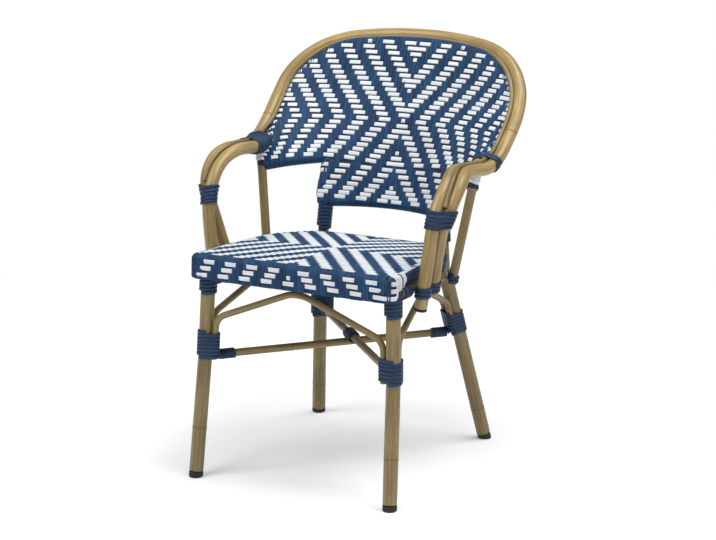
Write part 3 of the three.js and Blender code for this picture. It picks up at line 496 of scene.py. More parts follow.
def bent_path(points: Sequence[Sequence[float]], radii: Sequence[float], count: int = 10) -> Array:
    """Straight stretches with a bend of a given radius at each inner point.

    Each bend is the parabola from where its circle would leave one stretch to where it
    would meet the next.

    Args:
        points: Corner points.
        radii: Bend radius at each inner corner.
        count: Stations on each bend.

    Returns:
        Stations of the path.
    """
    corners = np.asarray(points, float)
    rows = [corners[:1]]
    s = np.linspace(0.0, 1.0, count)[:, None]
    for index, radius in enumerate(radii, start=1):
        here = corners[index]
        back = corners[index - 1] - here
        ahead = corners[index + 1] - here
        room = min(np.linalg.norm(back), np.linalg.norm(ahead)) / 2
        back, ahead = unit(back), unit(ahead)
        half = math.acos(float(np.clip(back @ ahead, -1.0, 1.0))) / 2
        reach = min(radius / math.tan(half), room)
        enter, leave = here + back * reach, here + ahead * reach
        rows.append((1 - s) ** 2 * enter + 2 * s * (1 - s) * here + s**2 * leave)
    rows.append(corners[-1:])
    return np.vstack(rows)


def mirrored(points: Array) -> Array:
    """The same points with their first number reversed."""
    return points * np.array([-1.0] + [1.0] * (points.shape[-1] - 1))


def quarter_turned(along: Array) -> Array:
    """Flat directions turned clockwise by a quarter: out of an outline that runs anticlockwise."""
    return np.stack([along[:, 1], -along[:, 0]], axis=1)


def on_side(points: Array, side: Side) -> Array:
    """The same points on a side of the chair."""
    return np.asarray(points, float) * np.array([side.value, 1.0, 1.0])


def mirrored_whole(half: Array) -> Array:
    """A line from the middle to the right, with its mirror image put before it."""
    return np.vstack([mirrored(half[:0:-1]), half])


def mirrored_ring(half: Array) -> Array:
    """A line from one point of the middle to another, closed by its mirror image."""
    return np.vstack([half, mirrored(half[-2::-1])])


def at_height(points: Array, height: Array | float) -> Array:
    """Points of a polyline at given heights, carried on beyond its ends.

    Args:
        points: The polyline, which rises or falls all the way.
        height: One height or several.

    Returns:
        One point for each height.
    """
    points = np.asarray(points, float)
    if points[0, 2] > points[-1, 2]:
        points = points[::-1]
    index = np.clip(np.searchsorted(points[:, 2], height) - 1, 0, len(points) - 2)
    low, high = points[index], points[index + 1]
    share = (np.asarray(height) - low[..., 2]) / (high[..., 2] - low[..., 2])
    return low + (high - low) * share[..., None]


def carried_frames(path: Array) -> tuple[Array, Array]:
    """Frames along a path that turn as little as they can.

    Args:
        path: The stations.

    Returns:
        Unit normals and the directions across them, one row for each station.
    """
    tangents = unit(np.gradient(path, axis=0))
    normals = np.empty_like(path)
    normal = np.array([0.0, 1.0, 0.0] if abs(tangents[0, 2]) > 0.9 else [0.0, 0.0, 1.0])
    for index, tangent in enumerate(tangents):
        normal = unit(normal - (normal @ tangent) * tangent)
        normals[index] = normal
    return normals, np.cross(tangents, normals)


# ---------------------------------------------------------------- meshes


@dataclass
class Skin:
    """A mesh in the making: points, faces, UV values and numbers at the points."""

    points: list[Array] = field(default_factory=list)
    corners: list[Array] = field(default_factory=list)
    sizes: list[Array] = field(default_factory=list)
    uvs: list[Array] = field(default_factory=list)
    tones: list[Array] = field(default_factory=list)
    knots: list[Array] = field(default_factory=list)
    count: int = 0

    def add_grid(self, grid: Array, along: Array, tone: float = 0.5, knots: Array | None = None,
                 round_rows: bool = False) -> None:
        """Adds a grid of stations and sides as a skin that closes round its sides.

        Faces join each station to the next, side by side. The first and last stations
        close with one many-sided face each, unless the stations themselves form a ring.

        Args:
            grid: Points, by station, side and axis, in millimetres. Sides run
                anticlockwise seen against the direction of the stations.
            along: Distance of each station, in millimetres, for the UV map.
            tone: The shade of this strand, from 0 to 1.
            knots: How dark each station's ring is, from 0 to 1.
            round_rows: The last station joins the first.
        """
        rows, sides = grid.shape[:2]
        start = self.count
        row = np.arange(rows if round_rows else rows - 1)[:, None]
        side = np.arange(sides)[None, :]
        next_row = (row + 1) % rows
        next_side = (side + 1) % sides
        quads = np.stack(np.broadcast_arrays(
            row * sides + side, next_row * sides + side, next_row * sides + next_side,
            row * sides + next_side), axis=-1).reshape(-1, 4)
        distance = np.append(along, along[-1] + along[1] - along[0]) * MILLIMETRE
        u0, u1 = np.broadcast_arrays(distance[row], distance[row + 1])
        v = np.broadcast_to(side / sides, (len(row), sides))
        step = 1.0 / sides
        u = np.stack([u0 + 0 * v, u1 + 0 * v, u1 + 0 * v, u0 + 0 * v], axis=-1)
        w = np.stack([v, v, v + step, v + step], axis=-1)
        self.points.append(grid.reshape(-1, 3))
        self.corners.append(quads.ravel() + start)
        self.sizes.append(np.full(len(quads), 4))
        self.uvs.append(np.stack([u, w], axis=-1).reshape(-1, 2))
        if not round_rows:
            for ring, order in ((0, 1), (rows - 1, -1)):
                face = (ring * sides + np.arange(sides))[::order] + start
                self.corners.append(face)
                self.sizes.append(np.array([sides]))
                ends = np.full((sides, 2), distance[ring])
                ends[:, 1] = 0.5
                self.uvs.append(ends)
        self.tones.append(np.full(rows * sides, tone))
        ring_values = np.zeros(rows) if knots is None else knots
        self.knots.append(np.repeat(ring_values, sides))
        self.count += rows * sides

    def make(self, name: str, material: bpy.types.Material, slot: Slot,
             replaced: Sequence[str] = ()) -> None:
        """Makes the Blender object, dresses it, and has it ride on the chair's body.

        Args:
            name: Name of the new piece.
            material: Its finish.
            slot: The record's material slot; not used.
            replaced: CAD nodes that it stands for.
        """
        points = np.vstack(self.points) + np.array([0.0, ORIGIN_SHIFT, 0.0])
        corners = np.concatenate(self.corners)
        sizes = np.concatenate(self.sizes)
        mesh = bpy.data.meshes.new(name)
        mesh.vertices.add(len(points))
        mesh.vertices.foreach_set("co", (points * MILLIMETRE).astype(np.float32).ravel())
        mesh.loops.add(len(corners))
        mesh.loops.foreach_set("vertex_index", corners.astype(np.int32))
        mesh.polygons.add(len(sizes))
        mesh.polygons.foreach_set("loop_start", np.concatenate([[0], np.cumsum(sizes)[:-1]]).astype(np.int32))
        mesh.polygons.foreach_set("loop_total", sizes.astype(np.int32))
        mesh.polygons.foreach_set("use_smooth", np.ones(len(sizes), bool))
        layer = mesh.uv_layers.new(name="UVMap")
        layer.data.foreach_set("uv", np.vstack(self.uvs).astype(np.float32).ravel())
        for label, rows in (("tone", self.tones), ("knot", self.knots)):
            numbers = mesh.attributes.new(label, "FLOAT", "POINT")
            numbers.data.foreach_set("value", np.concatenate(rows).astype(np.float32))
        mesh.update()
        mesh.validate()
        mesh.materials.append(material)
        piece = bpy.data.objects.new(name, mesh)
        bpy.context.scene.collection.objects.link(piece)
        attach(piece, ROOT)
        if replaced:
            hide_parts(*replaced)
        log.info("%s: %d faces", name, len(sizes))


def carried_section(path: Array, normals: Array, section: Array) -> Array:
    """A closed section carried along a path.

    Each point of the section is its first number times the sideways direction, which is
    tangent cross normal, plus its second number times the normal.

    Args:
        path: Stations.
        normals: The direction of the section's second number at each station.
        section: Points of the section, anticlockwise.

    Returns:
        Points by station, side and axis.
    """
    tangents = unit(np.gradient(path, axis=0))
    upright = unit(normals - np.sum(normals * tangents, axis=1, keepdims=True) * tangents)
    sideways = np.cross(tangents, upright)
    return (path[:, None] + sideways[:, None] * section[None, :, :1]
            + upright[:, None] * section[None, :, 1:])


KNOT_REACH = 5.0
KNOT_SWELL = 0.55
KNOT_GROOVE = 0.75


def circle_section(count: int) -> Array:
    """Unit circle, anticlockwise."""
    angles = np.arange(count) * math.tau / count
    return np.stack([np.cos(angles), np.sin(angles)], axis=-1)


def flat_section(width: float, thickness: float, crown: float = 0.25) -> Array:
    """Flat cord: a bar with rounded edges and a slight crown.

    Args:
        width: Its width.
        thickness: Its thickness at the edges.
        crown: How much of half the thickness the middle rises.

    Returns:
        Points of the section, anticlockwise.
    """
    w, t = width / 2, thickness / 2
    half = [(w, 0.0), (0.86 * w, 0.8 * t), (0.45 * w, (1 + crown / 2) * t), (0.0, (1 + crown) * t),
            (-0.45 * w, (1 + crown / 2) * t), (-0.86 * w, 0.8 * t), (-w, 0.0)]
    under = [(-0.8 * w, -t), (0.8 * w, -t)]
    return np.array(half + under)


def add_tube(skin: Skin, path: Array, radius: float, sides: int = 28, knots: Sequence[float] = (),
             rounding: float = 1.4, ring: bool = False) -> None:
    """Adds a bamboo-look tube along a path.

    The radius swells by half a millimetre at each knot, with a fine groove in it, and
    draws in along a quarter circle at both ends.

    Args:
        skin: The mesh in the making.
        path: Stations.
        radius: The tube's radius.
        sides: Sides of its section.
        knots: Distances of the knots from the start.
        rounding: How far from each end its edge rounds off.
        ring: The path closes on itself.
    """
    runs = run_lengths(path)
    total = runs[-1]
    if not ring:
        edge = rounding * (1 - np.cos(np.linspace(0.0, QUARTER, 5)))
        middle = runs[(runs > rounding) & (runs < total - rounding)]
        wanted = np.unique(np.concatenate([middle, edge, total - edge]))
        for knot in knots:
            near = knot + np.linspace(-KNOT_REACH, KNOT_REACH, 21)
            away = wanted[abs(wanted - knot) > KNOT_REACH]
            wanted = np.unique(np.concatenate([away, near[(near > 2) & (near < total - 2)]]))
        path, runs = at_runs(path, wanted), wanted
    bulge = np.zeros_like(runs)
    dark = np.zeros_like(runs)
    for knot in knots:
        away = runs - knot
        bulge += KNOT_SWELL * np.exp(-((away / 2.6) ** 2)) - KNOT_GROOVE * np.exp(-((away / 0.7) ** 2))
        dark += np.exp(-((away / 1.1) ** 2))
    sizes = radius + bulge
    if not ring:
        ends = np.clip(np.minimum(runs, total - runs) / rounding, 0.0, 1.0)
        sizes = sizes - rounding * (1 - np.sqrt(1 - (1 - ends) ** 2))
    normals, across = carried_frames(path)
    circle = circle_section(sides)
    grid = (path[:, None] + across[:, None] * (circle[None, :, :1] * sizes[:, None, None])
            + normals[:, None] * (circle[None, :, 1:] * sizes[:, None, None]))
    skin.add_grid(grid, runs, knots=np.clip(dark, 0.0, 1.0), round_rows=ring)


# ---------------------------------------------------------------- seat and back shapes


@dataclass(frozen=True)
class SeatShape:
    """Outline, slope and edge of the seat, as seen from above."""

    front_half: float = 222.0
    rear_half: float = 205.0
    front_reach: float = 237.0
    rear_reach: float = 154.0
    bow: float = 3.0
    corner: float = 9.0
    front_height: float = 457.0
    rear_height: float = 424.5
    crown: float = 5.0
    apron_depth: float = 54.0
    skirt_depth: float = 29.0
    apron_return: float = 30.0
    hem_rise: float = 0.62
    sag_front: float = 5.0
    sag_left: float = 1.0
    sag_reach: float = 190.0
    front_shares: tuple[float, ...] = (0.0, 0.36, 0.7)
    corner_shares: tuple[float, ...] = (0.0, 0.25, 0.5, 0.75, 1.0)
    rear_shares: tuple[tuple[float, float], ...] = (
        (1, 0), (0.996, 0.22), (0.976, 0.4), (0.937, 0.52), (0.875, 0.64), (0.804, 0.77),
        (0.742, 0.875), (0.683, 0.946), (0.59, 0.98), (0.39, 0.993), (0.2, 0.998), (0, 1))

    @property
    def middle(self) -> float:
        """Y of the seat's middle."""
        return (self.rear_reach - self.front_reach) / 2

    @property
    def depth(self) -> float:
        """Length from front to rear."""
        return self.rear_reach + self.front_reach

    def top(self, y: Array | float) -> Array | float:
        """Height of the edge: a straight slope from front to rear."""
        return lerp(self.front_height, self.rear_height, (y + self.front_reach) / self.depth)

    def front(self, x: Array | float) -> Array | float:
        """Y of the front edge: a shallow parabola."""
        return -self.front_reach + self.bow * (x / self.front_half) ** 2

    def sag(self, x: Array, y: Array) -> Array:
        """How far the front edge hangs below the slope: more towards its left corner."""
        left = np.clip(-x / self.front_half, 0.0, 1.0)
        return (self.sag_front + self.sag_left * left**2) * smooth(1 - (y - self.front(x)) / self.sag_reach)

    def half(self, inset: float, bend: float = 0.0) -> Array:
        """Right half of the outline from the middle of the front to the middle of the rear.

        The front follows its parabola, the corner is an arc of at least the given bend,
        and the side is a row of shares of the rear half width. All of it then moves
        inwards by the inset.

        Args:
            inset: Distance inwards.
            bend: Least corner radius after the inset.

        Returns:
            Points in X and Y.
        """
        radius = max(self.corner, inset + bend)
        reach = self.front_half - radius
        centre = np.array([reach, self.front(reach) + radius])
        spots = [(np.array([reach * share, self.front(reach * share)]), np.array([0.0, -1.0]))
                 for share in self.front_shares]
        for share in self.corner_shares:
            angle = -QUARTER * (1 - share)
            out = np.array([math.cos(angle), math.sin(angle)])
            spots.append((centre + out * radius, out))
        side_reach = self.front(self.front_half) + self.corner + self.apron_return
        spots.append((np.array([self.front_half, side_reach]), np.array([1.0, 0.0])))
        taper = (self.front_half - self.rear_half) / (self.middle + self.front_reach)
        drawn = []
        for spot, out in spots:
            shift = taper * (spot[1] - inset * out[1] + self.front_reach) * np.sign(spot[0])
            drawn.append(spot - np.array([shift, 0.0]))
        shares = np.array(self.rear_shares, float)
        ys = lerp(self.middle, self.rear_reach, shares[:, 1])
        rear = np.stack([self.rear_half * shares[:, 0], ys], axis=1)
        before = np.vstack([drawn[-1], rear[:-1]])
        after = np.vstack([rear[1:], mirrored(rear[-2])])
        rear_out = quarter_turned(unit(after - before))
        outs = np.array([out for _, out in spots])
        return np.vstack([np.array(drawn) - outs * inset, rear - rear_out * inset])

    def side(self, y: Array | float, inset: float) -> Array | float:
        """Half width at a Y, less an inset.

        Args:
            y: Where along the seat.
            inset: Distance inwards.

        Returns:
            The half width.
        """
        start = len(self.front_shares) + len(self.corner_shares) - 1
        line = self.half(inset)[start:]
        return np.interp(y, line[:, 1], line[:, 0])

    def hem_depth(self, x: Array, y: Array) -> Array:
        """Depth of the hanging edge: the apron's in front, easing to the skirt's beside it."""
        share = (self.apron_return - (y - self.front(x))) / (self.hem_rise * self.apron_return)
        return lerp(self.skirt_depth, self.apron_depth, smooth(share))


@dataclass(frozen=True)
class BackShape:
    """The curved surface of the back, by breadth along the curve and height."""

    foot_height: float = 482.0
    foot_reach: float = 193.0
    height: float = 328.5
    lean: float = 151.5
    bow_share: float = 0.28
    low_radius: float = 238.0
    top_radius: float = 645.0
    blend_height: float = 620.0
    blend_length: float = 32.0
    hoop_half: float = 291.0
    frame_radius: float = 9.0
    hoop_radius: float = 12.5
    hoop_wall: float = 3.0
    crown_rise: float = 7.0
    crown_forward: float = 8.0
    crown_half: float = 300.0
    crown_fade: float = 150.0
    crown_foot: float = 725.0
    crown_height: float = 60.0
    hoop_shares: tuple[tuple[float, float], ...] = (
        (0, 1), (0.21, 0.996), (0.405, 0.983), (0.57, 0.962), (0.72, 0.916),
        (0.845, 0.84), (0.93, 0.74), (0.968, 0.623), (1, 0.502), (1.06, 0.41))

    @property
    def arch_inset(self) -> float:
        """Distance of the inner arch from the hoop."""
        return self.hoop_radius + self.hoop_wall + self.frame_radius

    def points(self, flat: Array) -> Array:
        """Points of the surface.

        At each height the surface is a circle's arc whose curvature eases from the low to
        the top radius along an S curve of the height. Its middle leans back by a share
        that grows with the square of the height.

        Args:
            flat: Breadth along the arc and height, one row each.

        Returns:
            Points in space.
        """
        breadth, z = flat[..., 0], flat[..., 1]
        top, low = 1 / self.top_radius, 1 / self.low_radius
        bend = top + (low - top) / (1 + np.exp((z - self.blend_height) / self.blend_length))
        share = (z - self.foot_height) / self.height
        reach = self.foot_reach + self.lean * ((1 - self.bow_share) * share + self.bow_share * share**2)
        angle = breadth * bend
        return np.stack([np.sin(angle) / bend, reach - (1 - np.cos(angle)) / bend, z], axis=-1)

    def fronts(self, flat: Array) -> Array:
        """Unit vectors out of the surface towards the sitter: the cross of its two slopes.

        Args:
            flat: Breadth along the arc and height, one row each.

        Returns:
            Unit vectors.
        """
        step = self.frame_radius / 4
        right, rise = np.array([step, 0.0]), np.array([0.0, step])
        across = self.points(flat + right) - self.points(flat - right)
        upward = self.points(flat + rise) - self.points(flat - rise)
        return unit(np.cross(across, upward))

    def off(self, flat: Array, offset: float) -> Array:
        """Points at an offset from the surface."""
        return self.points(flat) + self.fronts(flat) * offset

    def hoop_flat(self, inset: float) -> Array:
        """The hoop's line from crown to side, moved inwards, still flat.

        Over the crown it also rises, in step with the inset.

        Args:
            inset: Distance inwards.

        Returns:
            Breadths and heights.
        """
        shares = np.array(self.hoop_shares, float)
        heights = self.foot_height + shares[:, 1] * self.height
        line = np.stack([shares[:, 0] * self.hoop_half, heights], axis=1)
        before = np.vstack([line[:1], line[:-1]])
        after = np.vstack([line[1:], line[-1:]])
        along = unit(after - before)
        along[0] = (1.0, 0.0)
        moved = line + inset * quarter_turned(along)
        moved[:, 1] += self.crown_rise * inset / self.arch_inset * self.crown(moved[:, 0])
        return moved

    def crown(self, breadth: Array) -> Array:
        """1 over the middle of the crown, easing to 0 at its sides."""
        return smooth((self.crown_half - np.abs(breadth)) / self.crown_fade)

    def forward(self, flat: Array) -> Array:
        """How far the inner arch and the weave stand before the surface: only near the crown."""
        height = smooth((flat[..., 1] - self.crown_foot) / self.crown_height)
        return self.crown_forward * self.crown(flat[..., 0]) * height


SEAT = SeatShape()
BACK = BackShape()


# ---------------------------------------------------------------- woven panels


@dataclass(frozen=True)
class Twill:
    """Three over, three under, turned round a middle so that the stripes form a cross."""

    span: int = 6
    over: int = 3
    lead: int = 2

    def signs(self, threads: Array | int, rows: Array | int) -> Array:
        """1 where the white strand of a row lies over the blue one of a thread, -1 where under."""
        return np.where((np.abs(threads) + self.lead - np.abs(rows)) % self.span < self.over, 1.0, -1.0)


@dataclass
class PanelEdge:
    """The closed edge of a woven panel, where its strands start to roll over."""

    flat: Array
    outward: Array
    runs: Array
    spots: Array
    normals: Array
    away: Array
    hang: Array
    curl: Array

    @property
    def total(self) -> float:
        """Length of the edge on the flat pattern."""
        return float(self.runs[-1])

    def at(self, name: str, run: Array | float) -> Array:
        """One of the edge's columns at a distance along it, past its end from its start again.

        Args:
            name: The column.
            run: One distance or several.

        Returns:
            The column's values there.
        """
        values = getattr(self, name)
        wrapped = np.mod(run, self.total)
        if values.ndim == 1:
            return np.interp(wrapped, self.runs, values)
        return np.stack([np.interp(wrapped, self.runs, column) for column in values.T], axis=-1)

    def crossings(self, axis: int, held: Held) -> list[tuple[float, float]]:
        """Where a line of the pattern crosses the edge.

        Args:
            axis: The coordinate that the line gives.
            held: Its value by the other coordinate.

        Returns:
            The other coordinate and the distance along the edge, in rising order.
        """
        level = self.flat[:, axis] - held(self.flat[:, 1 - axis]) - 0.01
        found = np.nonzero(level[:-1] * level[1:] < 0)[0]
        share = level[found] / (level[found] - level[found + 1])
        other = lerp(self.flat[found, 1 - axis], self.flat[found + 1, 1 - axis], share)
        run = lerp(self.runs[found], self.runs[found + 1], share)
        return sorted(zip(other.tolist(), run.tolist()))


@dataclass(frozen=True)
class Strand:
    """One strand of a weave.

    Args:
        axis: The coordinate of the pattern that its line gives.
        held: That coordinate's value by the other one.
        ends: Its two crossings of the edge: coordinate, and distance along the edge.
        section: Its section.
        pitch: Spacing of the strands that it crosses.
        tone: Its shade, from 0 to 1.
    """

    axis: int
    held: Held
    ends: Sequence[tuple[float, float]]
    section: Array
    pitch: float
    tone: float


@dataclass
class WovenPanel(ABC):
    """A panel of white strands along one axis of a pattern and blue ones along the other."""

    finishes: Finishes
    twill: Twill = Twill()
    lift: float = 1.2
    roll: float = 10.3
    curl: float = 10.3
    curl_turns: float = 1.0
    white_width: float = 8.3
    blue_width: float = 8.0
    samples: int = 1400
    ease: float = 0.15
    slant: float = 0.9
    # Depths and shares of the dark sheet of painted shade inside the weave.
    skin_depth: float = 0.35
    rear_depth: float = 0.6
    skin_shares: tuple[float, ...] = (0.004, *np.linspace(0.08, 1.0, 24))
    seed: int = 7
    white: Skin = field(default_factory=Skin)
    blue: Skin = field(default_factory=Skin)

    @abstractmethod
    def surface(self, flat: Array) -> tuple[Array, Array]:
        """Points and unit normals of the panel's middle layer at spots of the pattern."""

    @abstractmethod
    def outline(self) -> Array:
        """Closed outline of the pattern, anticlockwise, its first point repeated."""

    @abstractmethod
    def hangs(self, flat: Array, outward: Array) -> tuple[Array, Array]:
        """How far strands hang straight after the roll, and the radius that they curl under with."""

    @cached_property
    def shades(self) -> np.random.Generator:
        """Where the strands' shades come from."""
        return np.random.default_rng(self.seed)

    @property
    def turn(self) -> float:
        """Length of the quarter circle over the edge."""
        return self.roll * QUARTER

    @cached_property
    def edge(self) -> PanelEdge:
        """The outline with its directions, on the pattern and in space.

        Returns:
            The edge.
        """
        line = self.outline()
        flat = even(line, run_lengths(line)[-1] / self.samples)
        closed = np.vstack([flat[-2], flat, flat[1]])
        along = unit(closed[2:] - closed[:-2])
        outward = quarter_turned(along)
        spots, normals = self.surface(flat)
        ring = np.vstack([spots[-2], spots, spots[1]])
        ahead = unit(ring[2:] - ring[:-2])
        away = self.outward_in_space(outward, ahead, normals)
        hang, curl = self.hangs(flat, outward)
        return PanelEdge(flat, outward, run_lengths(flat), spots, normals, away, hang, curl)

    def outward_in_space(self, outward: Array, ahead: Array, normals: Array) -> Array:
        """Direction out over the edge, square to it and to the panel."""
        return unit(np.cross(ahead, normals))

    def rolled(self, run: Array, past: Array, lift: Array | float) -> tuple[Array, Array]:
        """Points past the edge.

        A strand turns down round the edge on a quarter circle, hangs straight, and curls
        under on a second quarter circle and straight on for the rest.

        Args:
            run: Distance along the edge.
            past: Distance beyond it.
            lift: Height over the middle layer.

        Returns:
            Points and unit normals.
        """
        hang, curl = self.edge.at("hang", run), self.edge.at("curl", run)
        spot, normal, away = (self.edge.at(name, run) for name in ("spots", "normals", "away"))
        first = np.clip(past / self.roll, 0.0, QUARTER)
        straight = np.clip(past - self.turn, 0.0, hang)
        second = np.clip((past - self.turn - hang) / curl, 0.0, QUARTER * self.curl_turns)
        rest = np.maximum(past - (self.roll + curl * self.curl_turns) * QUARTER - hang, 0.0)
        out = self.roll * np.sin(first) - curl * (1 - np.cos(second)) - rest
        down = self.roll * (1 - np.cos(first)) + straight + curl * np.sin(second)
        facing = unit(normal * np.cos(first + second)[..., None] + away * np.sin(first + second)[..., None])
        place = spot + away * out[..., None] - normal * down[..., None]
        return place + facing * np.asarray(lift)[..., None], facing

    def add_strand(self, skin: Skin, strand: Strand, crossings: Array, signs: Array,
                   tails: Sequence[float]) -> None:
        """Adds a strand along its line of the pattern, rolled over the edge at both ends.

        Its height eases from one side of the panel to the other half way between two
        crossings of different sign.

        Args:
            skin: The mesh in the making.
            strand: The strand.
            crossings: Distances along it at which it meets others.
            signs: 1 where it lies over, -1 where it lies under.
            tails: How far it goes on past the edge at each end.
        """
        axis, ends = strand.axis, strand.ends
        first, last = ends[0][0], ends[1][0]
        order = np.argsort(crossings)
        spots, heights = crossings[order], signs[order] * self.lift
        change = np.nonzero(np.abs(np.diff(heights)) > 0.1)[0]
        middle = (spots[change] + spots[change + 1]) / 2
        reach = np.minimum(strand.pitch, spots[change + 1] - spots[change])
        eases = ((-self.ease, 0.0), (-0.4 * self.ease, 0.12), (0.4 * self.ease, 0.88), (self.ease, 1.0))
        places = [spots] + [middle + share * reach for share, _ in eases]
        levels = [heights] + [lerp(heights[change], heights[change + 1], mixed) for _, mixed in eases]
        table = np.concatenate(places)
        table_heights = np.concatenate(levels)
        sorting = np.argsort(table, kind="stable")
        table, table_heights = table[sorting], table_heights[sorting]
        before = first - np.linspace(0.0, 1.0, 13)[1:] * tails[0]
        after = last + np.linspace(0.0, 1.0, 13)[1:] * tails[1]
        inside = table[(table > first - tails[0]) & (table < last + tails[1])]
        runs = np.unique(np.round(np.concatenate([before, [first, last], after, inside]), 2))
        height = np.interp(runs, table, table_heights)
        flat = np.empty((len(runs), 2))
        flat[:, 1 - axis] = np.clip(runs, first, last)
        flat[:, axis] = strand.held(flat[:, 1 - axis])
        spot, normal = self.surface(flat)
        stations = spot + normal * height[:, None]
        for index, outside in ((0, runs < first), (1, runs > last)):
            if not outside.any():
                continue
            past = (first - runs if index == 0 else runs - last)[outside]
            run = ends[index][1]
            heading = np.zeros(2)
            heading[1 - axis] = -1.0 if index == 0 else 1.0
            outward = self.edge.at("outward", run)
            along = np.array([-outward[1], outward[0]])
            slope = float(np.clip((heading @ along) / max(heading @ outward, 0.2), -self.slant, self.slant))
            stations[outside], normal[outside] = self.rolled(run + slope * past, past, height[outside])
        skin.add_grid(carried_section(stations, normal, strand.section), runs - runs[0], strand.tone)

    def edge_strand(self, skin: Skin, crossings: Array, signs: Array, past: float | Held,
                    section: Array) -> None:
        """Adds a strand that runs along the edge, at a set distance past it.

        Args:
            skin: The mesh in the making.
            crossings: Distances along the edge at which it meets the strands that roll over it.
            signs: 1 where it lies over, -1 where it lies under.
            past: How far past the edge it runs, or that by distance along the edge.
            section: Its section.
        """
        fine = even(np.column_stack([crossings, np.zeros(len(crossings))]), 1.1)[:, 0]
        centre = (crossings[1:] + crossings[:-1]) / 2
        width = 0.36 * np.diff(crossings)
        index = np.clip(np.searchsorted(crossings, fine) - 1, 0, len(centre) - 1)
        share = smooth((fine - centre[index]) / width[index] + 0.5)
        heights = signs * self.lift
        height = lerp(heights[index], heights[index + 1], share)
        beyond = past(fine) if callable(past) else np.full(len(fine), past)
        stations, normals = self.rolled(fine, beyond, height)
        skin.add_grid(carried_section(stations, normals, section), fine - fine[0], self.shades.random())

    def squareness(self, axis: int, ends: Sequence[tuple[float, float]]) -> list[float]:
        """How squarely a strand meets the edge at its two ends, 1 where it is square to it."""
        return [abs(float(self.edge.at("outward", run)[1 - axis])) for _, run in ends]

    @cached_property
    def white_section(self) -> Array:
        """Flat strand with rounded edges."""
        return flat_section(self.white_width, 1.4)

    @cached_property
    def blue_section(self) -> Array:
        """Two thin strands side by side, with a groove between them above and below.

        Returns:
            Points of the section, anticlockwise.
        """
        w = self.blue_width / 2
        return np.array([(w, 0.0), (0.8 * w, 0.72), (0.5 * w, 0.92), (0.2 * w, 0.72), (0.0, 0.0),
                         (-0.2 * w, 0.72), (-0.5 * w, 0.92), (-0.8 * w, 0.72), (-w, 0.0),
                         (-0.5 * w, -0.85), (0.0, -0.2), (0.5 * w, -0.85)])

    def make_shade_sheet(self, name: str, middle: Array, rows: Sequence[Array]) -> None:
        """Makes the closed dark sheet inside the weave: painted shade that shows between the strands and lets
        no light through between them.

        A grid runs out from the middle under the upper strands, over the edge, and back
        over the lower ones.

        Args:
            name: Name of the piece.
            middle: A spot of the pattern that sees the whole outline.
            rows: Rings of points past the edge, from the top to the underside.
        """
        flat = middle + (self.edge.flat[:-1] - middle)[None] * np.array(self.skin_shares)[:, None, None]
        spots, normals = self.surface(flat)
        upper, lower = spots - normals * self.skin_depth, spots - normals * self.rear_depth
        grid = np.concatenate([upper, np.array(rows), lower[::-1]])
        skin = Skin()
        skin.add_grid(grid, np.arange(len(grid)) * 8.0)
        # Painted shade: a dark sheet that stands for the shade in the gaps between the strands.
        skin.make(name, self.finishes.shade, Slot.STRAND)


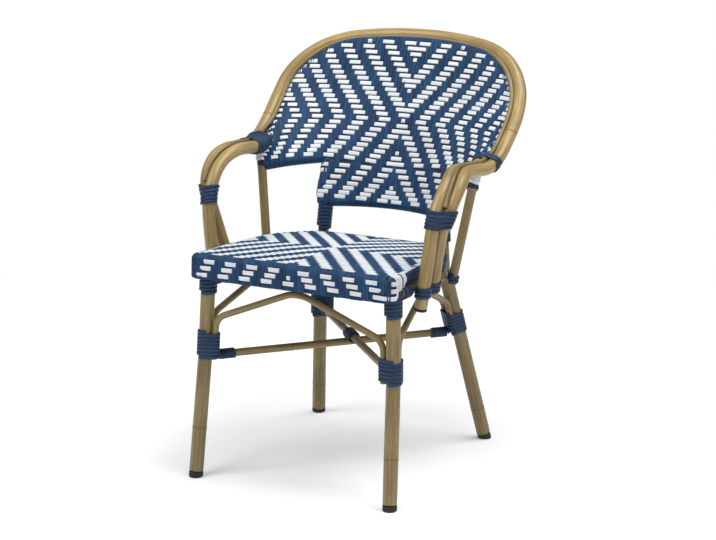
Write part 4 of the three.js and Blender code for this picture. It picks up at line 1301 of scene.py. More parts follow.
@dataclass
class BackPanel(WovenPanel):
    """Woven back: wraps an arch, a stepped lower rail and the tops of both side posts."""

    wing_height: float = 565.6
    wing_inner_height: float = 571.5
    tail_height: float = 486.0
    tail_half: float = 148.0
    rail_bends: tuple[float, ...] = (4.0, 9.0, 10.0)
    shoulder: tuple[tuple[float, float], ...] = ((279.0, 616.0), (292.0, 601.0), (298.5, 588.0))
    post_low: Point = (206.11, 44.02, 375.0)
    post_high: Point = (238.02, 78.34, 588.95)
    post_breadth_low: float = 289.75
    post_breadth_from: float = 555.0
    post_spread: float = 0.3
    wing_from: float = 238.0
    pull_top: float = 596.0
    pull_fade: float = 46.0
    row_numbers: tuple[int, ...] = (-15, -14, -12, -9, -8, -6, -3, 0, 3, 6, 9, 12, 15)
    row_heights: tuple[float, ...] = (
        487.3, 495.5, 513.5, 547.0, 559.5, 580.5, 611.3, 643.0, 673.7, 700.0, 728.3, 757.5, 787.5)
    bow_numbers: tuple[int, ...] = (-14, -9, -8, -7, -6, -5, -3, -1, 0)
    bow_rises: tuple[float, ...] = (9.0, 9.0, 14.5, 11.5, 8.0, 5.0, 4.7, 1.0, 0.0)
    bow_reach: float = 190.0
    row_pitch: float = 10.0
    middle_height: float = 600.0
    thread_count: int = 41
    thread_pitch: float = 8.45
    thread_closing: float = 0.00055
    lean_left: float = 0.05
    lean_right: float = 0.016
    lean_from: float = 648.0
    lean_fade: float = 80.0
    side_threads: tuple[int, ...] = (19, 20, 21)
    side_row: int = -8
    side_pitch: float = 7.9
    side_past_left: float = 0.9
    side_past_right: float = 6.6
    wrap_length: float = 45.0
    wrap_shares: tuple[float, ...] = (0.2, 0.4, 0.6, 0.8, 1.0, 1.25, 1.5, 1.75, 2.0, 2.3, 2.6)
    curl_turns: float = 1.85
    square_enough: float = 0.3

    def row_height(self, row: Array | int, breadth: Array) -> Array:
        """Height of a row at a breadth: the lower rows bow upwards to the sides."""
        bow = np.interp(row, self.bow_numbers, self.bow_rises) * smooth(np.abs(breadth) / self.bow_reach)
        return np.interp(row, self.row_numbers, self.row_heights) + bow

    def thread_place(self, thread: Array | int, z: Array | float) -> Array:
        """Breadth of a thread at a height: they close up to the sides, and lean in downwards.

        Args:
            thread: Number of the thread, from the middle to the right.
            z: Height.

        Returns:
            The breadth.
        """
        breadth = thread * (self.thread_pitch - self.thread_closing * thread**2)
        lean = np.where(np.asarray(thread) < 0, self.lean_left, self.lean_right)
        return breadth * (1 - lean * smooth((self.lean_from - z) / self.lean_fade))

    def post_breadth(self, z: Array | float) -> Array | float:
        """Breadth on the pattern at which a side post stands."""
        return self.post_breadth_low + (z - self.post_breadth_from) * self.post_spread

    def surface(self, flat: Array) -> tuple[Array, Array]:
        """The back's surface, moved out to the wraps' middle, and drawn to the post at the wing's end.

        The shift grows from nothing at a breadth inside the wing to the whole distance
        between the surface and the post at the post's own breadth, and fades upwards.

        Args:
            flat: Breadth and height, one row each.

        Returns:
            Points and unit normals.
        """
        points = BACK.points(flat)
        normals = BACK.fronts(flat)
        breadth, z = np.abs(flat[..., 0]), flat[..., 1]
        side = np.sign(flat[..., 0])
        limit = self.post_breadth(z)
        tip = np.stack([limit * side, z], axis=-1)
        low, high = np.array(self.post_low), np.array(self.post_high)
        post = low + (high - low) * ((z - low[2]) / (high[2] - low[2]))[..., None]
        post[..., 0] *= side
        fading = 1 - smooth((z - self.pull_top) / self.pull_fade)
        pull = smooth((breadth - self.wing_from) / (limit - self.wing_from)) * fading
        moved = points + (post - BACK.points(tip)) * pull[..., None]
        return moved + normals * (self.roll + BACK.forward(flat))[..., None], normals

    def outline(self) -> Array:
        """Arch, side post, wing rail and tail, from the crown round to the right and back.

        Returns:
            The closed outline.
        """
        arch = smooth_curve(BACK.hoop_flat(BACK.arch_inset)[:-1], 12)
        curve = smooth_curve(np.vstack([arch[::6], np.array(self.shoulder)]), 10)
        low = [curve[-1], (self.post_breadth(self.wing_height), self.wing_height),
               (self.tail_half, self.wing_inner_height), (self.tail_half, self.tail_height),
               (0.0, self.tail_height)]
        rail = bent_path(low, self.rail_bends)
        return mirrored_ring(np.vstack([curve, rail[1:]]))[::-1]

    def hangs(self, flat: Array, outward: Array) -> tuple[Array, Array]:
        """The wraps go straight on round the tube, with no hanging part."""
        return np.zeros(len(flat)), np.full(len(flat), self.curl)

    def weave(self) -> None:
        """Makes the white strands, the blue strands and the dark sheet of painted shade inside."""
        rows = np.arange(self.row_numbers[0], self.row_numbers[-1] + 1)
        self.add_rows(rows)
        self.add_threads(rows)
        self.add_side_threads(rows[rows < self.side_row])
        self.white.make("back_white_strands", self.finishes.white, Slot.STRAND, ["back_weave"])
        self.blue.make("back_blue_strands", self.finishes.blue, Slot.STRAND)
        runs = self.edge.runs[:-1]
        depth = np.full(len(runs), -self.skin_depth)
        past = [np.full(len(runs), self.turn * share) for share in self.wrap_shares]
        wraps = [self.rolled(runs, distances, depth)[0] for distances in past]
        # Painted shade: the dark sheet inside the back's weave, wrapped round its frame.
        self.make_shade_sheet("back_weave_painted_shade", np.array([0.0, self.middle_height]), wraps)

    def add_rows(self, rows: Array) -> None:
        """Adds the white strands.

        Args:
            rows: Their numbers.
        """
        threads = np.arange(-self.thread_count, self.thread_count + 1)
        for row in rows:
            held = partial(self.row_height, row)
            places = self.thread_place(threads, held(self.thread_place(threads, self.middle_height)))
            over = self.twill.signs(threads, row)
            found = self.edge.crossings(1, held)
            for ends in zip(found[::2], found[1::2]):
                square = self.squareness(1, ends)
                tips = [self.tip(share, over, places, end) for share, (end, _) in zip(square, ends)]
                strand = Strand(1, held, ends, self.white_section, self.thread_pitch, self.shades.random())
                self.lay(self.white, strand, places, over, square, tips)

    def add_threads(self, rows: Array) -> None:
        """Adds the blue strands.

        Args:
            rows: Numbers of the white ones.
        """
        middles = np.interp(rows, self.row_numbers, self.row_heights)
        for thread in range(-self.thread_count, self.thread_count + 1):
            held = partial(self.thread_place, thread)
            heights = self.row_height(rows, held(middles))
            under = self.twill.signs(thread, rows)
            found = self.edge.crossings(0, held)
            for ends in zip(found[::2], found[1::2]):
                square = self.squareness(0, ends)
                tips = [1.0 if share > self.square_enough else -0.8 for share in square]
                strand = Strand(0, held, ends, self.blue_section, self.row_pitch, self.shades.random())
                self.lay(self.blue, strand, heights, -under, square, tips)

    def tip(self, share: float, over: Array, places: Array, end: float) -> float:
        """Height of a white strand past the edge: as the pattern has it beside the tail, else over.

        Args:
            share: How squarely the strand meets the edge.
            over: Over or under at each thread.
            places: Breadths of the threads.
            end: Breadth at which the strand meets the edge.

        Returns:
            The height in lifts.
        """
        if abs(abs(end) - self.tail_half) < 4.0:
            beyond = int(np.argmin(np.abs(places - end * 1.035)))
            return float(over[beyond]) * 0.9
        return 0.9 if share > 0.62 else -0.7

    def add_side_threads(self, rows: Array) -> None:
        """Adds the blue strands that run down the wrapped sides of the tail.

        Args:
            rows: Numbers of the white rows of the tail.
        """
        level = [self.tail_height + 1.0, *self.row_height(rows, self.tail_half), self.wing_inner_height]
        section = self.blue_section * np.array([1.2, 1.0])
        for side in Side:
            nearest = self.side_past_left if side is Side.LEFT else self.side_past_right
            spots = np.array([self.side_run(side, z) for z in level])
            order = np.argsort(spots)
            for step, number in enumerate(self.side_threads):
                signs = np.concatenate([[1.0], -self.twill.signs(number, rows), [1.0]])
                past = nearest + step * self.side_pitch
                self.edge_strand(self.blue, spots[order], signs[order], past, section)

    def side_run(self, side: Side, z: float) -> float:
        """Distance along the edge at a height on the tail's side.

        Args:
            side: Which side.
            z: The height.

        Returns:
            The distance.
        """
        edge = self.edge
        near = np.nonzero(edge.flat[:, 0] * side.value > self.tail_half - 14.0)[0]
        near = near[edge.flat[near, 0] * side.value < self.tail_half + 1.0]
        near = near[edge.flat[near, 1] < self.wing_inner_height + 1.0]
        order = np.argsort(edge.flat[near, 1])
        return float(np.interp(z, edge.flat[near, 1][order], edge.runs[near][order]))

    def lay(self, skin: Skin, strand: Strand, crossings: Array, signs: Array, square: Sequence[float],
            tips: Sequence[float]) -> None:
        """Adds a strand, with its ends wrapped round the frame where it meets it squarely.

        Args:
            skin: The mesh in the making.
            strand: The strand.
            crossings: Where it meets other strands.
            signs: Over or under at each of these.
            square: How squarely it meets the edge at each end.
            tips: Over or under past the edge.
        """
        first, last = (end for end, _ in strand.ends)
        inside = (crossings > first + 1.0) & (crossings < last - 2.0)
        tails = [self.wrap_length if share > self.square_enough else 9.0 for share in square]
        beyond = [first - tails[0], first - 3.0], [last + 3.0, last + tails[1]]
        places = np.concatenate([beyond[0], crossings[inside], beyond[1]])
        heights = np.concatenate([[tips[0], tips[0]], signs[inside], [tips[1], tips[1]]])
        self.add_strand(skin, strand, places, heights, tails)


@dataclass
class SeatPanel(WovenPanel):
    """Woven seat: crowned on top, rolled over the ring, with an apron in front."""

    roll: float = 10.0
    curl: float = 2.2
    side_curl: float = 7.5
    slant: float = 0.0
    edge_inset: float = 12.0
    edge_bend: float = 4.5
    edge_below: float = 2.0
    drift: float = -2.8
    row_middle: float = -50.0
    row_pitch: float = 10.35
    last_row: int = 21
    thread_pitch: float = 7.92
    apron_depths: tuple[float, ...] = (12.3, 23.8, 35.3)
    bowed_depths: tuple[float, ...] = (0.0, 2.6, 5.2)
    apron_first_row: int = 17
    fan_rows: int = 5
    fan_drop: float = 12.0
    fan_end: float = -168.0
    fan_fade: float = 25.0
    tuck: float = 7.0
    corner_steps: tuple[float, ...] = (3.2, 6.4, 9.6, 13.0, 17.5, 24.0, 31.5, 39.0, 46.5, 54.0)
    filling_steps: tuple[float, ...] = (4.2, 12.2)
    edging_depths: tuple[float, ...] = (9.5, 17.5, 25.5)
    edging_end: float = 60.0
    seed: int = 11

    @cached_property
    def threads(self) -> Array:
        """Numbers of the blue strands of the top, from left to right."""
        most = int((SEAT.front_half - self.edge_inset - 1.0) / self.thread_pitch)
        return np.arange(-most, most + 1)

    def height(self, x: Array, y: Array) -> Array:
        """Height of the middle layer.

        It is the edge's slope plus a crown that falls off as a cosine of the way to the
        edge. That way is the fourth root of the sum of the fourth powers of the shares
        across and along the seat.

        Args:
            x: Places across the pattern.
            y: Places along it.

        Returns:
            The heights.
        """
        across = x / (SEAT.front_half - self.edge_inset)
        along = (y - SEAT.middle) / (SEAT.depth / 2 - self.edge_inset)
        way = np.clip((across**4 + along**4) ** 0.25, 0.0, 1.0)
        return SEAT.top(y) - self.edge_below + SEAT.crown * np.cos(way * QUARTER) - SEAT.sag(x, y)

    def surface(self, flat: Array) -> tuple[Array, Array]:
        """Points and unit normals, from the height and its slopes over two millimetres.

        Args:
            flat: Places on the pattern, one row each.

        Returns:
            Points and unit normals.
        """
        x, y = flat[..., 0], flat[..., 1]
        slope_x = (self.height(x + 1.0, y) - self.height(x - 1.0, y)) / 2.0
        slope_y = (self.height(x, y + 1.0) - self.height(x, y - 1.0)) / 2.0
        normals = unit(np.stack([-slope_x, -slope_y, np.ones_like(x)], axis=-1))
        return np.stack([x + self.drift, y, self.height(x, y)], axis=-1), normals

    def outline(self) -> Array:
        """The seat's outline, inset to where its edge starts to roll."""
        return smooth_curve(mirrored_ring(SEAT.half(self.edge_inset, self.edge_bend)), 16)

    def outward_in_space(self, outward: Array, ahead: Array, normals: Array) -> Array:
        """Level direction out over the edge."""
        return np.column_stack([outward, np.zeros(len(outward))])

    def front_share(self, flat: Array, outward: Array) -> Array:
        """1 along the front and round its corners, easing to 0 down the sides.

        Args:
            flat: Points of the outline.
            outward: Unit vectors out of it.

        Returns:
            One share each.
        """
        spot = flat + outward * self.edge_inset
        depth = SEAT.hem_depth(spot[:, 0], spot[:, 1])
        return (depth - SEAT.skirt_depth) / (SEAT.apron_depth - SEAT.skirt_depth)

    def hangs(self, flat: Array, outward: Array) -> tuple[Array, Array]:
        """The apron hangs straight before it curls under; the sides wrap the ring.

        Args:
            flat: Points of the outline.
            outward: Unit vectors out of it.

        Returns:
            Length of the straight stretch, and radius of the curl under it.
        """
        share = self.front_share(flat, outward)
        sag = SEAT.sag(flat[:, 0], flat[:, 1])
        skirt = 1.0 + self.fan_drop * smooth((self.fan_end - flat[:, 1]) / self.fan_fade)
        apron = SEAT.apron_depth - self.edge_inset - self.curl - 1.0 - sag
        return lerp(skirt, apron, share), lerp(self.side_curl, self.curl, share)

    def row_past(self, number: int, x: Array | float) -> Array:
        """How far past the edge a row of the apron lies: the lower ones drop towards the corners.

        Args:
            number: Number of the row, from the top.
            x: Where across the seat.

        Returns:
            The distance past the edge.
        """
        share = np.clip(np.abs(x) / SEAT.front_half, 0.0, 1.0) ** 2
        depth = self.apron_depths[number] + self.bowed_depths[number] * share
        return self.turn + depth - self.edge_inset

    def weave(self) -> None:
        """Makes the white and blue strands of the top and the apron, and the dark sheet of painted shade
        inside.
        """
        rows = np.arange(1 - self.apron_first_row, self.last_row + 1)
        self.add_rows(rows)
        self.add_threads(rows)
        self.add_apron_rows()
        self.add_corner_strands()
        self.add_side_edging()
        self.white.make("seat_white_strands", self.finishes.white, Slot.STRAND, ["seat_weave"])
        self.blue.make("seat_blue_strands", self.finishes.blue, Slot.STRAND)
        self.make_shade_sheet("seat_weave_painted_shade", np.array([0.0, SEAT.middle]), self.shade_sheet_rows())

    def add_rows(self, rows: Array) -> None:
        """Adds the white strands of the top.

        Args:
            rows: Their numbers.
        """
        for row in rows:
            held = partial(np.full_like, fill_value=self.row_middle + row * self.row_pitch)
            ends = self.edge.crossings(1, held)
            if len(ends) != 2:
                continue
            left, right = self.squareness(1, ends)
            tips = [0.9 if left > 0.95 else -1.0, 0.9 if right > 0.3 else -1.0]
            tucked = (-1.0, 0.9 if row < rows[0] + self.fan_rows else -1.0)
            strand = Strand(1, held, ends, self.white_section, self.thread_pitch, self.shades.random())
            places, over = self.threads * self.thread_pitch, self.twill.signs(self.threads, row)
            self.lay(self.white, strand, places, over, tips, tucked=tucked)

    def add_threads(self, rows: Array) -> None:
        """Adds the blue strands of the top, which go on down the apron.

        Args:
            rows: Numbers of the white ones.
        """
        apron = range(len(self.apron_depths))
        crossed = np.concatenate([rows, self.apron_first_row + np.array(apron)])
        for thread in self.threads:
            x = thread * self.thread_pitch
            held = partial(np.full_like, fill_value=x)
            ends = self.edge.crossings(0, held)
            if len(ends) != 2:
                continue
            front = ends[0][0]
            past = [front - float(self.row_past(number, x)) for number in apron]
            places = np.concatenate([self.row_middle + rows * self.row_pitch, past, [front - self.turn / 2]])
            signs = np.append(-self.twill.signs(thread, crossed), 1.0)
            strand = Strand(0, held, ends, self.blue_section, self.row_pitch, self.shades.random())
            self.lay(self.blue, strand, places, signs, [1.0, 1.0], len(apron) + 1)

    def tail(self, run: float) -> float:
        """Length of a strand past the edge, up to where it is tucked under."""
        hang, curl = float(self.edge.at("hang", run)), float(self.edge.at("curl", run))
        return (self.roll + curl) * QUARTER + hang + self.tuck

    def lay(self, skin: Skin, strand: Strand, crossings: Array, signs: Array, tips: Sequence[float],
            kept: int = 0, tucked: tuple[float, float] = (1.0, 1.0)) -> None:
        """Adds a strand over the top and down both edges.

        Args:
            skin: The mesh in the making.
            strand: The strand.
            crossings: Where it meets other strands.
            signs: Over or under at each of these.
            tips: Over or under past the edge.
            kept: How many of the last crossings lie past the edge and stay.
            tucked: Over or under from the outermost strand along the edge on.
        """
        first, last = (end for end, _ in strand.ends)
        tails = [self.tail(run) for _, run in strand.ends]
        inside = (crossings > first + 3.0) & (crossings < last - 3.0)
        if kept:
            inside[-kept:] = True
        start = [first - tails[0]] if kept else [first - tails[0], first - 9.0, first - 4.0]
        before = [tips[0]] if kept else [tucked[0], tucked[0], tips[0]]
        places = np.concatenate([start, crossings[inside], [last + 4.0, last + 9.0, last + tails[1]]])
        heights = np.concatenate([before, signs[inside], [tips[1], tucked[1], tucked[1]]])
        self.add_strand(skin, strand, places, heights, tails)

    def edge_run(self, thread: int) -> float:
        """Distance along the front edge at which a thread rolls over it."""
        return self.edge.crossings(0, partial(np.full_like, fill_value=thread * self.thread_pitch))[0][1]

    @cached_property
    def corner_runs(self) -> dict[Side, Array]:
        """Distances along the edge of the upright strands round each front corner.

        The edge starts at the middle of the front and runs to the right, so the left
        corner's distances are counted back from its end.
        """
        steps = self.edge_run(self.threads[-1]) + np.array(self.corner_steps)
        return {Side.RIGHT: steps, Side.LEFT: self.edge.total - steps}

    def past_at(self, number: int, run: Array) -> Array:
        """How far past the edge a row of the apron lies, by distance along the edge."""
        return self.row_past(number, self.edge.at("flat", run)[:, 0])

    def add_apron_rows(self) -> None:
        """Adds the white rows of the apron, from one corner round to the other."""
        runs_of = np.array([self.edge_run(thread) for thread in self.threads])
        runs_of = np.where(runs_of > self.edge.total / 2, runs_of - self.edge.total, runs_of)
        corner = self.corner_runs[Side.RIGHT]
        for number in range(len(self.apron_depths)):
            over = self.twill.signs(self.threads, self.apron_first_row + number)
            crossings = np.concatenate([-corner[::-1], runs_of, corner])
            right = np.where(np.arange(len(corner)) < 3, 1.0, -1.0)
            if number == len(self.apron_depths) - 1:
                over[-1] = 1.0
            signs = np.concatenate([np.full(len(corner), -1.0), over, right])
            section = self.white_section * np.array([1.04, 1.0])
            self.edge_strand(self.white, crossings, signs, partial(self.past_at, number), section)

    def add_corner_strands(self) -> None:
        """Adds the upright blue strands that cover the left front corner of the apron.

        Two more at each corner fill the gaps that open between the last threads on its bend.
        """
        filling = [self.edge_run(self.threads[-1]) - step for step in self.filling_steps]
        covering = [*self.corner_runs[Side.LEFT], *(self.edge.total - run for run in filling)]
        shallow = self.turn + self.apron_depths[-1] - self.edge_inset - 5.0
        for run, deep in [(run, True) for run in covering] + [(run, False) for run in filling]:
            past = np.linspace(0.0 if deep else 9.0, self.tail(run) - 2.0, 44)
            lift = np.where((past < shallow) | deep, self.lift * 0.9, -self.lift)
            stations, normals = self.rolled(np.full(len(past), run), past, lift)
            grid = carried_section(stations, normals, self.blue_section)
            self.blue.add_grid(grid, past, self.shades.random())

    def add_side_edging(self) -> None:
        """Adds the blue strands that run along both sides, over the ends of the white ones."""
        first = self.corner_runs[Side.RIGHT][-1]
        last = self.edge.total / 2 - self.edging_end
        for past in self.edging_depths:
            for low, high in ((first, last), (self.edge.total - last, self.edge.total - first)):
                spots = np.linspace(low, high, 40)
                self.edge_strand(self.blue, spots, np.ones(40), past, self.blue_section)

    def shade_sheet_rows(self) -> list[Array]:
        """Rings of the dark sheet of painted shade over the edge, down to the hem of the skirt, and up again.

        Returns:
            Closed rings of points, from the top to the underside.
        """
        flat = self.edge.flat[:-1]
        outer = flat + self.edge.outward[:-1] * self.edge_inset
        depth = SEAT.hem_depth(outer[:, 0], outer[:, 1]) - self.edge_inset - SEAT.sag(flat[:, 0], flat[:, 1])
        outside = [(share, 0.0) for share in (0.25, 0.5, 0.75, 1.0)] + [(1.0, 0.5), (1.0, 1.0)]
        inside = outside[:3:-1] + [(1.0, 0.0)] + [(share, 0.0) for share in (0.75, 0.5, 0.25)]
        sheets = (outside, self.skin_depth), (inside, self.rear_depth)
        return [self.drop(self.turn * turn, depth * down, -below)
                for stops, below in sheets for turn, down in stops]

    def drop(self, turn: float, depth: Array, lift: float) -> Array:
        """Points on the plain roll and the straight skirt under it, all round the seat.

        Args:
            turn: Distance along the roll.
            depth: How far down the skirt each point lies.
            lift: Distance out of the surface.

        Returns:
            A closed ring of points.
        """
        edge = self.edge
        angle = turn / self.roll
        spot, normal, away = edge.spots[:-1], edge.normals[:-1], edge.away[:-1]
        facing = unit(normal * math.cos(angle) + away * math.sin(angle))
        place = spot + away * self.roll * math.sin(angle) - normal * self.roll * (1 - math.cos(angle))
        return place - np.array([0.0, 0.0, 1.0]) * depth[:, None] + facing * lift


# ---------------------------------------------------------------- frame of tubes

TURN_PART = math.pi / 10
FLAT = np.array([1.0, 1.0, 0.0])


@dataclass
class TubeFrame:
    """Legs, seat frame, hoop and arms, posts, stretchers and braces."""

    finishes: Finishes
    leg_radius: float = 14.0
    arm_radius: float = 12.5
    bead_radius: float = 4.5
    post_radius: float = 9.0
    back_post_radius: float = 11.0
    ring_radius: float = 10.0
    apron_rail_radius: float = 6.0
    cross_bar_radius: float = 7.0
    stretcher_radius: float = 7.5
    arch_radius: float = 6.5
    gap: float = 0.3
    cap_height: float = 12.0
    ring_inset: float = 14.9
    rail_inset: float = 12.0
    rail_drop: float = 43.0
    apron_rail_drop: float = 47.7
    apron_rail_inset: float = 10.9
    stretcher_height: float = 241.0
    arch_foot: float = 238.0
    crown_half: float = 22.0
    front_crown_half: float = 15.0
    crown_radius: float = 60.0
    front_elbow: float = 319.0
    rear_elbow: float = 306.0
    front_bend: float = 34.0
    rear_bend: float = 22.0
    front_crown_y: float = -208.0
    front_crown_drop: float = 8.0
    rear_crown: float = 345.0
    side_crown: float = 366.0
    cross_bar_y: float = -42.0
    leg_bend: float = 300.0
    plug_length: float = 5.0
    wrap_thickness: float = 3.6
    cord_middle: float = 1.7
    cord_half: float = 1.4
    cap_profile: tuple[tuple[float, float], ...] = (
        (0.4, 0.0), (9.5, 0.0), (10.5, 0.9), (11.5, 0.0), (12.8, 0.2), (13.6, 0.9), (14.0, 2.0), (14.0, 8.6),
        (13.5, 9.0), (13.5, 9.5), (14.0, 9.9), (14.0, 11.2), (13.5, 11.7), (0.4, 11.7))
    front_leg: tuple[Point, ...] = ((213.0, -239.0, 0.0), (205.0, -209.0, 240.0), (198.81, -198.0, 427.39))
    rear_leg: tuple[Point, ...] = ((194.7, 239.5, 0.0), (140.5, 151.5, 370.24))
    back_post: tuple[Point, ...] = ((140.5, 151.5, 370.84), (130.9, 157.87, 487.6))
    side_post: tuple[Point, ...] = ((206.11, 44.02, 375.0), (238.02, 78.34, 588.95))
    inner_arm: tuple[Point, ...] = (
        (240.8, 114.0, 616.2), (238.02, 78.34, 605.88), (235.33, 30.6, 609.55), (236.15, -20.42, 613.22),
        (242.53, -55.2, 604.04), (245.17, -84.18, 585.68), (243.97, -107.2, 561.2), (243.56, -118.6, 540.4),
        (242.44, -124.69, 518.98), (228.11, -132.0, 398.0), (223.85, -132.0, 372.0))
    outer_arm: tuple[Point, ...] = (
        (267.78, 121.18, 618.12), (264.82, 78.34, 605.88), (262.13, 30.6, 609.55), (262.94, -19.58, 613.22),
        (268.85, -50.18, 604.04), (269.93, -73.92, 585.68), (265.9, -91.79, 561.2), (259.98, -97.42, 540.4),
        (251.92, -99.62, 518.98), (223.75, -82.0, 398.0), (221.36, -82.0, 385.0))
    arm_bead: tuple[Point, ...] = (
        (255.0, 116.5, 629.4), (251.42, 77.22, 617.7), (248.73, 31.49, 621.39), (249.57, -20.8, 625.06),
        (256.69, -57.93, 614.64), (260.98, -87.32, 593.48), (261.47, -108.8, 564.6))
    leg_knots: tuple[float, ...] = (88.0,)
    rear_knots: tuple[float, ...] = (60.0, 262.0)
    hoop_knots: tuple[float, ...] = (-425.0, 410.0)
    upper_nodes: tuple[str, ...] = ("back_hoop", "inner_arm_right", "inner_arm_left")

    @property
    def bound(self) -> float:
        """Distance from a bare core to the outside of the wide cord on it."""
        return self.cord_middle / math.cos(TURN_PART) + self.cord_half

    @property
    def arch_beside(self) -> float:
        """Distance from a leg's middle to a brace beside it."""
        return self.leg_radius + self.arch_radius + self.gap

    def build(self) -> None:
        """Makes all the tubes, caps and plugs."""
        self.add_legs()
        self.add_hoop_and_arms()
        self.add_seat_ring()
        self.add_seat_rails()
        self.add_cross_bar()
        self.add_back_frame()
        self.add_stretchers()
        self.add_arches()

    def tube(self, name: str, path: Array, radius: float, nodes: Sequence[str] = (),
             knots: Sequence[float] = (), ring: bool = False, sides: int = 28) -> None:
        """Makes one bamboo tube.

        Args:
            name: Its name, without the word for the finish.
            path: Points along its middle.
            radius: Its radius.
            nodes: The nodes that it stands for, where they aren't the name.
            knots: Distances along it at which it has a knot.
            ring: Whether it closes on itself.
            sides: Sides of its section.
        """
        nodes = nodes or [name]
        skin = Skin()
        add_tube(skin, path, radius, sides, knots, ring=ring)
        finish = self.finishes.bamboo if nodes[0] in self.upper_nodes else self.finishes.leg_bamboo
        skin.make(f"{name}_bamboo", finish, Slot.TUBE, nodes)

    def add_legs(self) -> None:
        """Makes the four legs, with the bend of the front ones, and their foot caps."""
        for side in Side:
            for end, line, knots in (("front", self.front_leg, self.leg_knots),
                                     ("rear", self.rear_leg, self.rear_knots)):
                points = on_side(np.array(line), side)
                start = at_height(points, self.cap_height)
                corners = np.vstack([start, points[1:]])
                path = bent_path(corners, [self.leg_bend] * (len(corners) - 2), 16)
                self.tube(f"{end}_leg_{side.word}", even(path, 6.0), self.leg_radius, knots=knots)
                self.add_cap(f"{end}_foot_cap_{side.word}", points)

    def add_cap(self, name: str, leg: Array) -> None:
        """Makes a foot cap: level circles along the leg whose radii follow a turned profile.

        Args:
            name: The node that it stands for.
            leg: The leg's middle.
        """
        profile = np.array(self.cap_profile)
        centres = at_height(leg, profile[:, 1])
        circle = np.column_stack([circle_section(36)[::-1], np.zeros(36)])
        grid = centres[:, None] + circle[None] * profile[:, :1, None]
        skin = Skin()
        skin.add_grid(grid[:, ::-1], np.arange(len(profile)) * 2.0)
        skin.make(f"{name}_rubber", self.finishes.cap, Slot.CAP, [name])

    def hoop_path(self) -> Array:
        """Line of the hoop, which runs on into both outer arms as one bent tube.

        Returns:
            Points along it.
        """
        hoop = BACK.points(BACK.hoop_flat(0.0))[:-1]
        half = np.vstack([hoop, np.array(self.outer_arm)])
        return even(smooth_curve(mirrored_whole(half), 20), 4.0)

    def add_hoop_and_arms(self) -> None:
        """Makes the hoop with the outer arms, the inner arms with their plugs, and the bead."""
        hoop = self.hoop_path()
        total = run_lengths(hoop)[-1]
        knots = [total / 2 + offset for offset in self.hoop_knots]
        nodes = ["back_hoop", "outer_arm_right", "outer_arm_left"]
        self.tube("hoop_and_arms", hoop, self.arm_radius, nodes, knots)
        for side in Side:
            inner = smooth_curve(on_side(np.array(self.inner_arm), side), 20)[8:]
            self.tube(f"inner_arm_{side.word}", even(inner, 4.0), self.arm_radius)
            self.add_plug(f"arm_plug_{side.word}", inner[-1], unit(inner[-1] - inner[-9]))
        bead = np.vstack([self.bead_line(), np.array(self.arm_bead)])
        path = even(smooth_curve(mirrored_whole(bead), 16), 4.0)
        self.tube("trim_bead", path, self.bead_radius, sides=14)

    def add_plug(self, name: str, end: Array, way: Array) -> None:
        """Makes the dark plug on an inner arm's end.

        Args:
            name: The node that it stands for.
            end: The arm's end.
            way: Unit vector out of it.
        """
        plug = end + way * (2 * self.gap + np.linspace(0.0, self.plug_length, 9))[:, None]
        skin = Skin()
        add_tube(skin, plug, self.arm_radius, rounding=1.8)
        skin.make(f"{name}_moulded", self.finishes.cap, Slot.CAP, [name])

    def bead_line(self) -> Array:
        """The bead in the groove between the hoop and the wrapped arch.

        Its middle is where two circles meet: one about the hoop and one about the arch,
        each as large as the two pieces' radii together.

        Returns:
            Points from the crown to the side.
        """
        reach = self.bead_radius + self.gap
        to_hoop, to_wrap = self.arm_radius + reach, self.post_radius + self.wrap_thickness + reach
        inset = (BACK.arch_inset**2 + to_hoop**2 - to_wrap**2) / (2 * BACK.arch_inset)
        rise = math.sqrt(to_hoop**2 - inset**2)
        return BACK.off(BACK.hoop_flat(inset), rise)[:-1]

    def add_seat_ring(self) -> None:
        """Makes the ring that the seat's weave wraps."""
        whole = mirrored_ring(SEAT.half(self.ring_inset, 12.0))
        height = SEAT.top(whole[:, 1]) - self.ring_inset - SEAT.sag(whole[:, 0], whole[:, 1])
        ring = smooth_curve(np.column_stack([whole, height]), 8)
        self.tube("seat_ring", even(ring, 6.0)[:-1], self.ring_radius, ring=True, sides=16)

    def add_seat_rails(self) -> None:
        """Makes the lower rail from leg to leg, and the apron rail between the front legs."""
        leg_line, leg_top = np.array(self.front_leg), SEAT.top(self.front_leg[-1][1])
        front = at_height(leg_line, leg_top - self.rail_drop)[1] + self.leg_radius + 2 * self.gap
        ys = np.array([front, lerp(front, SEAT.middle, 0.5)])
        sides = np.stack([SEAT.side(ys, self.rail_inset), ys], axis=1)
        line = mirrored_ring(np.vstack([sides, SEAT.half(self.rail_inset)[9:]]))
        rail = smooth_curve(np.column_stack([line, SEAT.top(line[:, 1]) - self.rail_drop]), 10)
        self.tube("seat_rail", even(rail, 6.0), self.ring_radius, sides=20)
        leg = at_height(leg_line, leg_top - self.apron_rail_drop)
        touch = self.leg_radius + self.apron_rail_radius + self.gap
        ahead = leg[1] - self.apron_point(leg[0] - touch)[1]
        reach = leg[0] - math.sqrt(max(touch**2 - ahead**2, 0.0))
        apron = np.array([self.apron_point(reach * share) for share in np.linspace(-1.0, 1.0, 25)])
        self.tube("apron_rail", apron, self.apron_rail_radius, sides=16)

    def add_cross_bar(self) -> None:
        """Makes the bar across the seat ring."""
        y = self.cross_bar_y
        reach = SEAT.side(y, self.ring_inset) - self.ring_radius - 2 * self.gap
        z = SEAT.top(y) - self.ring_inset
        bar = even(np.array([[-reach, y, z], [reach, y, z]]), 12.0)
        self.tube("seat_cross_bar", bar, self.cross_bar_radius, sides=16)

    def apron_point(self, x: float) -> Array:
        """Middle of the apron rail at a breadth."""
        y = SEAT.front(x) + self.apron_rail_inset
        return np.array([x, y, SEAT.top(y) - self.apron_rail_drop])

